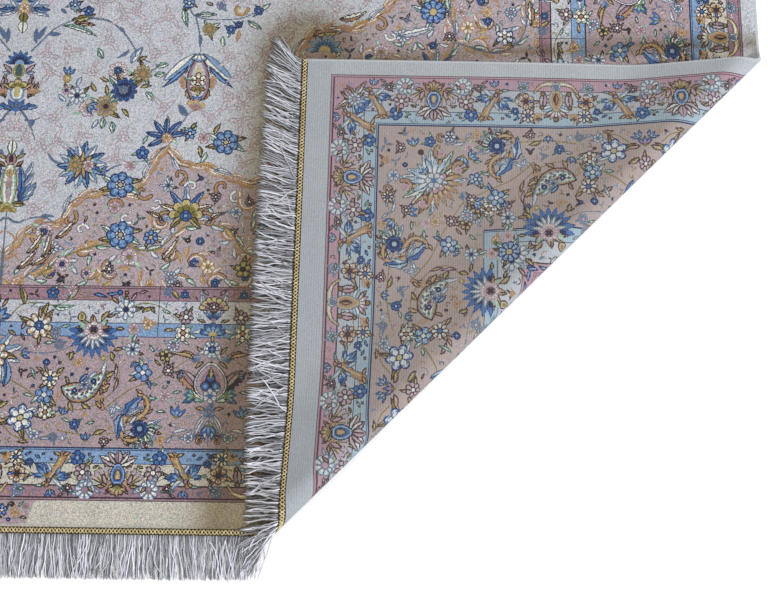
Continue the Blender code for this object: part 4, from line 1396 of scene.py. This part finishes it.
def yarn_at(finish, side):
    """The colour of the knot at a place on the cloth, read from its face's numbers. They lie three by three
    in the face's attributes, and each holds six knots as digits of base 16, the first knot's lowest."""
    across, up, _ = finish.parts(finish.uv("Knots"))
    column, row = floored(finish, across), floored(finish, up)
    far_half = column > DIGITS - 0.5
    place = column - far_half * DIGITS
    number = row * (KNOTS_A_FACE // DIGITS) + far_half
    group = finish.maths("FLOOR", (number + 0.5) / 3)
    held = finish.attribute("knots_0")
    for i in range(1, NUMBERS // 3):
        settings = {"data_type": "VECTOR"}
        inputs = {0: group > i - 0.5, 4: held, 5: finish.attribute(f"knots_{i}")}
        held = finish.node("ShaderNodeMix", settings, inputs, 1)
    value = finish.vector("DOT_PRODUCT", held, one_of_three(finish, number - group * 3), output=1)
    past_three = place > 2.5
    digits = one_of_three(finish, place - past_three * 3)
    sixteenths = finish.vector("DOT_PRODUCT", digits, (1, 1 / 16, 1 / 256), output=1)
    shifted = value * sixteenths * (1 - past_three * (1 - 1 / 4096))
    digit = finish.maths("FLOOR", shifted) % 16
    return finish.steps((digit + 0.5) / 16, chosen("yarns").row(side))


def knot_specks(finish):
    """The flat cloth's coordinates in metres and in knots, and a random number and colour for each knot."""
    flat = finish.uv("Flat")
    knots = finish.node("ShaderNodeVectorMath", {"operation": "SCALE"}, {0: flat, 3: 1000 / KNOT_MM})
    inputs = {0: finish.vector("FLOOR", knots)}
    number, tint = (finish.node("ShaderNodeTexWhiteNoise", {}, inputs, output) for output in (0, 1))
    return flat, knots, number, tint


def pile_finish():
    """The knots' silk ends, which differ from knot to knot, with a painted brown shade beside the turned
    corner.
    """
    finish = Finish("silk_pile", specular_ior_level=0.35, sheen_weight=0.25, sheen_roughness=0.45)
    flat, knots, speck, tint = knot_specks(finish)
    abrash = finish.noise(finish.vector("MULTIPLY", flat, (2.0, 9.0, 1.0)), 1.0, 3.0)
    cloud = finish.noise(flat, 60.0, 3.0)
    grain = finish.noise(flat, 620.0, 2.0, 0.7)
    tone = -0.25 + speck * 0.6 + abrash * 0.16 + cloud * 0.18 + grain * 1.1
    flecked = finish.vector("MULTIPLY_ADD", tint, KNOT_GREY, finish.combined(tone, tone, tone))
    # painted shade: the pile's colour darkens and browns beside the turned corner
    painted_shade = finish.mix(finish.attribute("painted_shade", 2), opaque((1, 1, 1)), PAINTED_SHADE_TINT)
    finish.drive(base_color=finish.multiplied(finish.multiplied(yarn_at(finish, "pile"), flecked), painted_shade))
    from_middle = finish.vector("SUBTRACT", finish.vector("FRACTION", knots), (0.5, 0.5, 0.5))
    dome = finish.maths("MAXIMUM", 1 - finish.vector("LENGTH", from_middle, output=1) * 1.6, 0)
    finish.bump(dome + speck * 0.5 + cloud, 0.35)
    finish.drive(roughness=0.52 + cloud * 0.22)
    return finish.material


def back_finish():
    """The duller back, ribbed along the rows of knots."""
    finish = Finish("knotted_back", roughness=0.85, specular_ior_level=0.2)
    flat, _, speck, _ = knot_specks(finish)
    cloud = finish.noise(flat, 45.0, 3.0)
    _, along, _ = finish.parts(flat)
    rib = finish.maths("SINE", along * (2 * math.pi / RIB_PITCH))
    grain = finish.noise(flat, 620.0, 2.0, 0.7)
    tone = 0.5 + speck * 0.16 + cloud * 0.16 + rib * 0.06 + grain * 0.5
    dulled = finish.mix(0.06, yarn_at(finish, "back"), opaque(linear((160, 156, 152))))
    finish.drive(base_color=finish.multiplied(dulled, finish.combined(tone, tone, tone)))
    finish.bump(rib * 0.5 + speck * 0.4, 0.4)
    return finish.material


def thread_finish():
    """Silver-white silk, whose threads differ a little in tone and show the painted light and shade that
    their tone carries, with a painted shade where they part from the braid.
    """
    finish = Finish("fringe_silk", roughness=0.5, specular_ior_level=0.4)
    finish.drive(sheen_weight=0.3, sheen_roughness=0.4)
    streak = finish.grain(400.0)
    # painted shade: the threads are a little darker near the braid and lighter further out
    out = finish.maths("SMOOTH_MIN", finish.attribute("share", 2) * 3, 1, 0.5)
    light = 0.08 + finish.attribute("tone", 2) * 0.72 + streak * 0.16 + out * 0.05
    silk = opaque(chosen("fringe").silk)
    finish.drive(base_color=finish.multiplied(silk, finish.combined(light, light, light)))
    finish.bump(streak, 0.4)
    return finish.material


def stitch_finish():
    """Gold thread, darker and lighter from stitch to stitch."""
    finish = Finish("gold_stitches", roughness=0.55, specular_ior_level=0.5)
    grain = finish.grain(900.0)
    share = finish.attribute("tone", 2) * 0.7 + grain * 0.4
    dark, light = chosen("braid").dark_gold, chosen("braid").light_gold
    finish.drive(base_color=finish.mix(share, opaque(dark), opaque(light)))
    finish.bump(grain, 0.5)
    return finish.material


def gap_shade_finish():
    """The near-black ground between the gold stitches, a painted shade in the gaps, flecked a little toward
    dark gold.
    """
    finish = Finish("braid_gap_shade", roughness=0.9, specular_ior_level=0.1)
    core, gold = chosen("braid").core, chosen("braid").dark_gold
    finish.drive(base_color=finish.mix(finish.grain(700.0) * 0.3, opaque(core), opaque(gold)))
    return finish.material


def overcast_finish():
    """The grey-white silk that is wound round the rug's long edges."""
    finish = Finish("overcast_silk", roughness=0.6, specular_ior_level=0.35)
    flat = finish.uv("Flat")
    _, along, _ = finish.parts(flat)
    wound = finish.maths("SINE", along * (2 * math.pi / WOUND_PITCH))
    share = 0.35 + wound * 0.15 + finish.noise(flat, 500.0) * 0.4
    dark, light = linear((150, 153, 156)), linear((208, 210, 210))
    finish.drive(base_color=finish.mix(share, opaque(dark), opaque(light)))
    finish.bump(wound, 0.5)
    return finish.material


def floor_finish():
    finish = Finish("pale_floor", roughness=0.8, specular_ior_level=0.0)
    finish.drive(base_color=opaque(chosen("stage").floor))
    return finish.material


BRAID_START, BRAID_END = -0.0019, 0.0043  # how far past the rug's end the braid's stitches start and end
CLOTH_END = HALF_LENGTH + BRAID_START + 0.0003  # the cloth ends just under the braid
CORE_DEEP, CORE_HIGH = 0.0056, 0.0026  # the braid's core along the rug and upwards
CORE_CUTS = 339  # across the core, so that it can follow the fold
STITCH_HIGH, STITCH_SPAN = 0.0021, 1.5  # half of a stitch's height, and how many others it crosses
WOUND_PROUD, WOUND_OUT, WOUND_UP = 0.0002, 0.0006, 0.0001  # how the overcast silk stands past the cloth
WOUND_SIDES, WOUND_STEPS = 10, 500
# the fringe's lower and upper layer of threads: pitch and radius against the settings', darkest and lightest
# tone, height, how far bunches draw them together, and the share of them that stray. The lower layer's dark
# tone is a painted shade deep in the fringe
FRINGE_LAYERS = ((0.9, 1.0, -0.1, 0.32, 0.0, 0.1, 0.0), (1.1, 1.04, 0.3, 1.15, 0.0016, 0.66, 0.12))
LOOSE_MARGIN = 0.02  # no thread strays this near to a fringe's ends
BUNCH_LEAST, BUNCH_MOST = 0.004, 0.009  # how wide the bunches are
ROOT_DEPTH, ROOT_UNEVEN = 0.0006, 0.0005  # how deep in the braid a thread starts, and how uneven in height
DRIFT_KEPT, DRIFT_NEW = 0.94, 0.34  # how the headings of neighbouring threads wander together
BOW, WIDE_WAVE, NARROW_WAVE = 0.0014, 0.0011, 0.0006  # how far a thread leaves its straight line
TIP_SHARE = 0.35  # of a thread's radius, at its tip
THREAD_SIDES, THREAD_STEPS = 4, 10
# how far the pile's painted shade fades out beside the turned fringe and the turned side, and how steeply
PAINTED_SHADE_END, PAINTED_SHADE_SIDE, PAINTED_SHADE_POWER = 0.020, 0.009, 1.3


def verts_of(geom):
    return [part for part in geom if isinstance(part, bmesh.types.BMVert)]


def grown(shape, edges):
    """The vertices and edges that are extruded from edges."""
    geom = bmesh.ops.extrude_edge_only(shape, edges=edges)["geom"]
    return verts_of(geom), [part for part in geom if isinstance(part, bmesh.types.BMEdge)]


def closed(shape, sides):
    """Closes the open ends of tubes and turns their faces outwards."""
    bmesh.ops.holes_fill(shape, edges=[edge for edge in shape.edges if edge.is_boundary], sides=sides)
    bmesh.ops.recalc_face_normals(shape, faces=shape.faces)


def distance(point, start, end):
    """How far a point lies from a straight line between two others, seen from above."""
    way = (end - start).to_2d()
    past = (point - start).to_2d()
    return (past - way * min(max(past.dot(way) / way.length_squared, 0), 1)).length


def paint_shade_beside_turned_corner(cloth):
    """Marks the pile round the turned corner with a painted shade, which darkens and browns its colour there.
    """
    # painted shade beside the turned fringe and the turned side: 1 next to them, fading out further away
    painted_shade = cloth.verts.layers.float.new("painted_shade")
    foot, corner = turned((TURN_START, -HALF_LENGTH, MID)), turned((HALF_WIDTH, -HALF_LENGTH, MID))
    side = turned((HALF_WIDTH, FOLD_SIDE, MID))
    for vert in cloth.verts:
        by_end = (distance(vert.co, foot, corner) - chosen("fringe").length) / PAINTED_SHADE_END
        by_side = distance(vert.co, corner, side) / PAINTED_SHADE_SIDE
        vert[painted_shade] = math.exp(-(max(min(by_end, by_side), 0) ** PAINTED_SHADE_POWER))


def woven_face(name, height, finish, numbers, looks_down, nodes):
    """One face of the rug's cloth, at its height over the floor in the flat layout."""
    cloth = knotted_grid(numbers)
    made_finer_at_the_bend(cloth, 2)
    for vert in cloth.verts:
        vert.co.y = min(max(vert.co.y, -CLOTH_END), CLOTH_END)
        vert.co.z = height
    if looks_down:
        bmesh.ops.reverse_faces(cloth, faces=cloth.faces)
    else:
        wall, _ = grown(cloth, [edge for edge in cloth.edges if edge.is_boundary])
        for vert in wall:
            vert.co.z = 0
    laid(cloth)
    paint_shade_beside_turned_corner(cloth)
    piece(name, cloth, [finish], nodes)


def overcast_side(name, side):
    """The wound edge of a long side, a thin tube along it."""
    tube = bmesh.new()
    flat = tube.loops.layers.uv.new("Flat")
    radius = CLOTH_THICKNESS / 2 + WOUND_PROUD
    centre = Vector((side * (HALF_WIDTH - radius + WOUND_OUT), -HALF_LENGTH, MID + WOUND_UP))
    turn = Matrix.Translation(centre) @ Matrix.Rotation(math.pi / 2, 4, "X")
    bmesh.ops.create_circle(tube, segments=WOUND_SIDES, radius=radius, matrix=turn)
    edges = tube.edges[:]
    for _ in range(WOUND_STEPS):
        verts, edges = grown(tube, edges)
        bmesh.ops.translate(tube, vec=(0, RUG_LENGTH / WOUND_STEPS, 0), verts=verts)
    closed(tube, WOUND_SIDES)
    for face in tube.faces:
        for loop in face.loops:
            loop[flat].uv = loop.vert.co.x, loop.vert.co.y
    laid(tube)
    piece(name, tube, [overcast_finish()], ())


def repeated(shape, geom, count, step):
    """Copies geometry until there are count of it, each a step further along x than the last."""
    start = min(vert.co.x for vert in verts_of(geom))
    made = 1
    while made < count:
        more = min(made, count - made)
        end = start + (more - 0.01) * step
        part = [e for e in geom if all(v.co.x < end for v in getattr(e, "verts", [e]))]
        copy = bmesh.ops.duplicate(shape, geom=part)["geom"]
        bmesh.ops.translate(shape, vec=(made * step, 0, 0), verts=verts_of(copy))
        geom = geom + copy
        made += more


def end_braid(name, end, node, seed):
    """Gold stitches that cross each other on a core whose near-black finish is a painted shade between them,
    along one end of the rug.
    """
    chance = np.random.default_rng(seed)
    braid = bmesh.new()
    tone = braid.verts.layers.float.new("tone")
    middle = end * (HALF_LENGTH + (BRAID_START + BRAID_END) / 2)
    stretched = Matrix.Diagonal((RUG_WIDTH - 0.002, CORE_DEEP, CORE_HIGH, 1))
    bmesh.ops.create_cube(braid, size=1, matrix=Matrix.Translation((0, middle, MID)) @ stretched)
    long_edges = [edge for edge in braid.edges if abs(edge.verts[0].co.x - edge.verts[1].co.x) > HALF_WIDTH]
    bmesh.ops.subdivide_edges(braid, edges=long_edges, cuts=CORE_CUTS)
    core = set(braid.faces)
    count = round(RUG_WIDTH / chosen("braid").pitch)
    pitch = RUG_WIDTH / count
    stitch = Vector((STITCH_SPAN * pitch, BRAID_END - BRAID_START))
    size = Vector((stitch.length / 2, chosen("braid").width, STITCH_HIGH))
    lean = math.atan2(stitch.y, stitch.x)
    first = Vector((-HALF_WIDTH + 0.5 * pitch, middle, MID))
    for way in (-1, 1):
        kept = set(braid.verts)
        # a row of small balls, each of which is then drawn out to a stitch
        matrix = Matrix.Translation(first) @ Matrix.Scale(pitch / 4, 4)
        bmesh.ops.create_uvsphere(braid, u_segments=8, v_segments=5, radius=1, matrix=matrix)
        everything = (*braid.verts, *braid.edges, *braid.faces)
        ball = [e for e in everything if not kept.intersection(getattr(e, "verts", [e]))]
        repeated(braid, ball, count, pitch)
        angles = [way * (lean + 0.05 * chance.standard_normal()) for _ in range(count)]
        leans = [Matrix.Rotation(angle, 3, "Z") for angle in angles]
        shades = chance.random(count)
        for vert in set(braid.verts) - kept:
            i = min(max(round((vert.co.x - first.x) / pitch), 0), count - 1)
            centre = first + Vector((i * pitch, 0, 0))
            vert.co = centre + leans[i] @ ((vert.co - centre) * 4 / pitch * size)
            vert[tone] = shades[i]
    laid(braid)
    for face in braid.faces:
        # the core takes the painted shade of the gaps between the stitches
        face.material_index = 1 if face in core else 0
    piece(name, braid, [stitch_finish(), gap_shade_finish()], (node,))


def thread_path(root, first, tip, side, bow, waves, landing):
    """The middle line of one thread: out of the braid, down onto what it lies on, and along it to its tip."""
    second = root + (tip - root) * 0.55 + side * bow
    second.z = landing + 0.0006
    for i in range(THREAD_STEPS + 1):
        t = i / THREAD_STEPS
        s = 1 - t
        spot = s**3 * root + 3 * s * s * t * first + 3 * s * t * t * second + t**3 * tip
        sway = sum(high * math.sin(2 * math.pi * (count * t + start)) for high, count, start in waves)
        yield spot + side * sway * min(1, 3 * t)


def fringe(name, start, end, edge, node, seed, heading, disorder=0.06):
    """Loose threads along a part of one end, from a start to an end across the rug, in a close lower layer
    and an open upper one. heading gives which way they point on the floor at a place across the rug."""
    chance = np.random.default_rng(seed)
    wanted = chosen("fringe")
    shape = bmesh.new()
    number, corner = (shape.verts.layers.int.new(layer) for layer in ("number", "corner"))
    tone, share = (shape.verts.layers.float.new(layer) for layer in ("tone", "share"))
    widths = chance.uniform(BUNCH_LEAST, BUNCH_MOST, int((end - start) / BUNCH_LEAST))
    bunches = start - 0.005 + np.cumsum([0, *widths])
    paths = []
    for closer, thinner, dark, light, high, drawn, astray in FRINGE_LAYERS:
        count = int((end - start) / (wanted.pitch * closer))
        drift = 0.0
        for i in range(count):
            x = start + (i + 0.5 + 0.8 * (chance.random() - 0.5)) * (end - start) / count
            height = MID + ROOT_UNEVEN * chance.standard_normal()
            flat_root = Vector((x, edge * (HALF_LENGTH + BRAID_END - ROOT_DEPTH), height))
            root = turned(flat_root)
            out = (turned(flat_root + Vector((0, edge * 0.001, 0))) - root).normalized()
            over = turned(flat_root + Vector((0.001, 0, 0))) - root
            over.z = 0
            thick = wanted.radius * thinner * (0.8 + 0.4 * chance.random())
            drift = DRIFT_KEPT * drift + DRIFT_NEW * chance.standard_normal() * disorder
            stray = chance.random() < astray and start + LOOSE_MARGIN < x < end - LOOSE_MARGIN
            wild = 3 if stray else 1
            angle = heading(x) + drift + disorder * chance.standard_normal() * wild
            level = Vector((math.cos(angle), math.sin(angle), 0))
            side = level.cross(UP)
            under = 0.0 if root.z < MID + 0.003 else CLOTH_THICKNESS
            landing = under + CLEARANCE + thick + high * (0.4 + 0.6 * chance.random() + stray)
            length = wanted.length * (0.965 + 0.045 * chance.random())
            reach = math.sqrt(max(length**2 - (root.z - landing) ** 2, (0.5 * length) ** 2))
            bunch = np.searchsorted(bunches, x)
            pull = drawn * ((bunches[bunch - 1] + bunches[bunch]) / 2 - x)
            tip = root + reach * level + over.normalized() * pull
            tip.z = landing
            bow = BOW * chance.standard_normal() * wild
            # a wide wave and a narrow one: how high, how many of them, and where they start
            wide = WIDE_WAVE * chance.random(), 0.7 + chance.random(), chance.random()
            narrow = NARROW_WAVE * chance.random(), 2 + 1.5 * chance.random(), chance.random()
            first = root + length * (0.14 * out + 0.16 * level)
            line = list(thread_path(root, first, tip, side, bow, (wide, narrow), landing))
            # a random tone, darker in the lower layer as a painted shade, times a painted light that makes
            # threads rooted higher up the fold lighter
            shade = (dark + (light - dark) * chance.random()) * (1 + (root.z - landing) * 24)
            for k in range(THREAD_SIDES):
                vert = shape.verts.new()
                vert[number], vert[corner], vert[tone] = len(paths), k, shade
            paths.append((line, thick, side))
    shape.verts.ensure_lookup_table()
    edges = []
    for i in range(len(paths)):
        ring = [shape.verts[i * THREAD_SIDES + k] for k in range(THREAD_SIDES)]
        edges += [shape.edges.new((a, b)) for a, b in zip(ring, ring[1:] + ring[:1])]

    def set_ring(verts, step):
        """Lays the threads' corners round their middle lines at a step along them."""
        for vert in verts:
            line, thick, side = paths[vert[number]]
            ahead = (line[min(step + 1, THREAD_STEPS)] - line[max(step - 1, 0)]).normalized()
            across = (side - ahead * side.dot(ahead)).normalized()
            angle = 2 * math.pi * vert[corner] / THREAD_SIDES
            radius = thick * (1.0 if step < THREAD_STEPS else TIP_SHARE)
            vert.co = line[step] + radius * (math.cos(angle) * across + math.sin(angle) * across.cross(ahead))
            vert[share] = step / THREAD_STEPS

    set_ring(shape.verts, 0)
    for step in range(1, THREAD_STEPS + 1):
        verts, edges = grown(shape, edges)
        set_ring(verts, step)
    closed(shape, THREAD_SIDES)
    piece(name, shape, [thread_finish()], (node,))


IMAGE_WIDTH, FOCAL = 768, 850  # pixels
SENSOR_WIDTH = 36  # mm
CAMERA_PLACE = (0.3403, -0.9240, 0.7384)
CAMERA_TURNS = ((0.0209, "Z"), (0.1632, "X"), (-0.0081, "Z"))  # from straight down, one after the other
ROOM_WHITE = (1.05, 1.0, 0.94, 1)
FLOOR_SIZE, FLOOR_DROP = 6, 0.0003  # the floor's half width, and how far it lies under the rug


def soft_light(name, place, aim, size, power, colour):
    lamp = bpy.data.lights.new(name, "AREA")
    lamp.size, lamp.energy, lamp.color = size, power, colour
    holder = in_scene(name, lamp)
    holder.location = place
    holder.rotation_euler = (Vector(aim) - Vector(place)).to_track_quat("-Z", "Y").to_euler()


def set_stage():
    """The floor, the two lights, the white room and the camera where the photo's stood."""
    wanted = chosen("stage")
    ground = bmesh.new()
    matrix = Matrix.Translation((0, 0, -FLOOR_DROP))
    bmesh.ops.create_grid(ground, x_segments=1, y_segments=1, size=FLOOR_SIZE, matrix=matrix)
    floor = in_scene("floor", mesh_of("floor", ground, [floor_finish()]))
    floor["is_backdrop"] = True
    soft_light("key_light", (2.7, -1.75, 2.1), (0.2, -0.7, 0), 0.7, wanted.key_power, (0.95, 0.99, 1.05))
    soft_light("top_light", (0.0, -0.2, 3.0), (0, -0.2, 0), 3.5, wanted.top_power, (1.05, 1.0, 0.93))
    world = bpy.data.worlds.new("studio")
    world.use_nodes = True
    room = world.node_tree.nodes["Background"]
    room.inputs["Color"].default_value = ROOM_WHITE
    room.inputs["Strength"].default_value = wanted.world
    bpy.context.scene.world = world
    bpy.context.scene.view_settings.view_transform = "Standard"
    lens = bpy.data.cameras.new("camera")
    lens.sensor_width, lens.lens = SENSOR_WIDTH, FOCAL * SENSOR_WIDTH / IMAGE_WIDTH
    camera = in_scene("camera", lens)
    view = Matrix.Translation(CAMERA_PLACE)
    for angle, axis in CAMERA_TURNS:
        view = view @ Matrix.Rotation(angle, 4, axis)
    camera.matrix_world = view
    bpy.context.scene.camera = camera


def near_heading(x):
    """The near threads point at the viewer, and draw in a little beside the turned corner."""
    return -math.pi / 2 + 0.02 - 0.26 * max(0, 1 - (TURN_START - x) / 0.03) ** 2


def turned_heading(x):
    """The first turned threads fall past the near end, the next lie to the left, and the last slant up."""
    up = (x - TURN_START) / (HALF_WIDTH - TURN_START)
    share = min(up / 0.1, 1)
    share *= share * (3 - 2 * share)
    drop = -0.05 + 0.6 * (max(0, up - 0.35) / 0.65) ** 1.6 + 0.25 * max(0, up - 0.93) / 0.07
    return -math.pi / 2 - 0.26 - share * (math.pi / 2 - 0.26) - share * drop


def far_heading(x):
    return math.pi / 2 + 0.03 * math.sin(9 * x)


class RUG_OT_weave(bpy.types.Operator):
    """Draws the cartoon and weaves the pile and the back from it"""

    bl_idname = "rug.weave"
    bl_label = "Weave Pile and Back"

    def execute(self, context):
        art = Cartoon(RUG_WIDTH * 500, RUG_LENGTH * 500, KNOT_MM, CREAM)
        draw_rug(art)
        numbers = packed_knots(whole_rug(art.knots))
        woven_face("silk_pile", CLOTH_THICKNESS, pile_finish(), numbers, False, ("carpet",))
        woven_face("knotted_back", 0.0, back_finish(), numbers, True, ())
        return {"FINISHED"}


class RUG_OT_overcast(bpy.types.Operator):
    """Winds silk round the long edges"""

    bl_idname = "rug.overcast"
    bl_label = "Overcast Long Edges"

    def execute(self, context):
        overcast_side("overcast_left", -1)
        overcast_side("overcast_right", 1)
        return {"FINISHED"}


class RUG_OT_braid(bpy.types.Operator):
    """Stitches the gold braid along both ends"""

    bl_idname = "rug.braid"
    bl_label = "Braid Ends"

    def execute(self, context):
        end_braid("gold_braid_near", -1, "braid_near", 3)
        end_braid("gold_braid_far", 1, "braid_far", 4)
        return {"FINISHED"}


class RUG_OT_fringe(bpy.types.Operator):
    """Hangs the loose threads from both ends"""

    bl_idname = "rug.fringe"
    bl_label = "Fringe Ends"

    def execute(self, context):
        fringe("fringe_threads_near", -HALF_WIDTH, TURN_START, -1, "fringe_near", 5, near_heading)
        fringe("fringe_threads_turned", TURN_START, HALF_WIDTH, -1, "fringe_turned", 6, turned_heading, 0.11)
        fringe("fringe_threads_far", -HALF_WIDTH, HALF_WIDTH, 1, "fringe_far", 7, far_heading)
        return {"FINISHED"}


class RUG_OT_stage(bpy.types.Operator):
    """Sets the floor, the lights, the room and the camera"""

    bl_idname = "rug.stage"
    bl_label = "Set Stage"

    def execute(self, context):
        set_stage()
        return {"FINISHED"}


class RUG_PT_panel(bpy.types.Panel):
    """The rug's settings and steps"""

    bl_idname = "RUG_PT_panel"
    bl_label = "Knotted Silk Rug"
    bl_space_type = "VIEW_3D"
    bl_region_type = "UI"
    bl_category = "Rug"

    def draw(self, context):
        for operator in OPERATORS:
            self.layout.operator(operator.bl_idname)
        for name, group in GROUPS.items():
            box = self.layout.box()
            box.label(text=group.__doc__)
            for key in group.__annotations__:
                box.prop(getattr(context.scene, name), key)


GROUPS = {"rug_fringe": RugFringe, "rug_braid": RugBraid, "rug_yarns": RugYarns, "rug_stage": RugStage}
OPERATORS = (RUG_OT_weave, RUG_OT_overcast, RUG_OT_braid, RUG_OT_fringe, RUG_OT_stage)


def register():
    for cls in (*GROUPS.values(), *OPERATORS, RUG_PT_panel):
        bpy.utils.register_class(cls)
    for name, group in GROUPS.items():
        setattr(bpy.types.Scene, name, PointerProperty(type=group))


def unregister():
    for name in GROUPS:
        delattr(bpy.types.Scene, name)
    for cls in (RUG_PT_panel, *reversed(OPERATORS), *reversed(GROUPS.values())):
        bpy.utils.unregister_class(cls)


def main():
    cad_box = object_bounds()
    register()
    bpy.ops.rug.weave()
    bpy.ops.rug.overcast()
    bpy.ops.rug.braid()
    bpy.ops.rug.fringe()
    pile, *others = (bpy.data.objects[name] for name in MADE)
    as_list(others)
    bpy.ops.rug.stage()
    boxes = {"cad": cad_box, "visual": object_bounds()}
    {name: [list(corner) for corner in box] for name, box in boxes.items()}


if __name__ == "__main__":
    main()
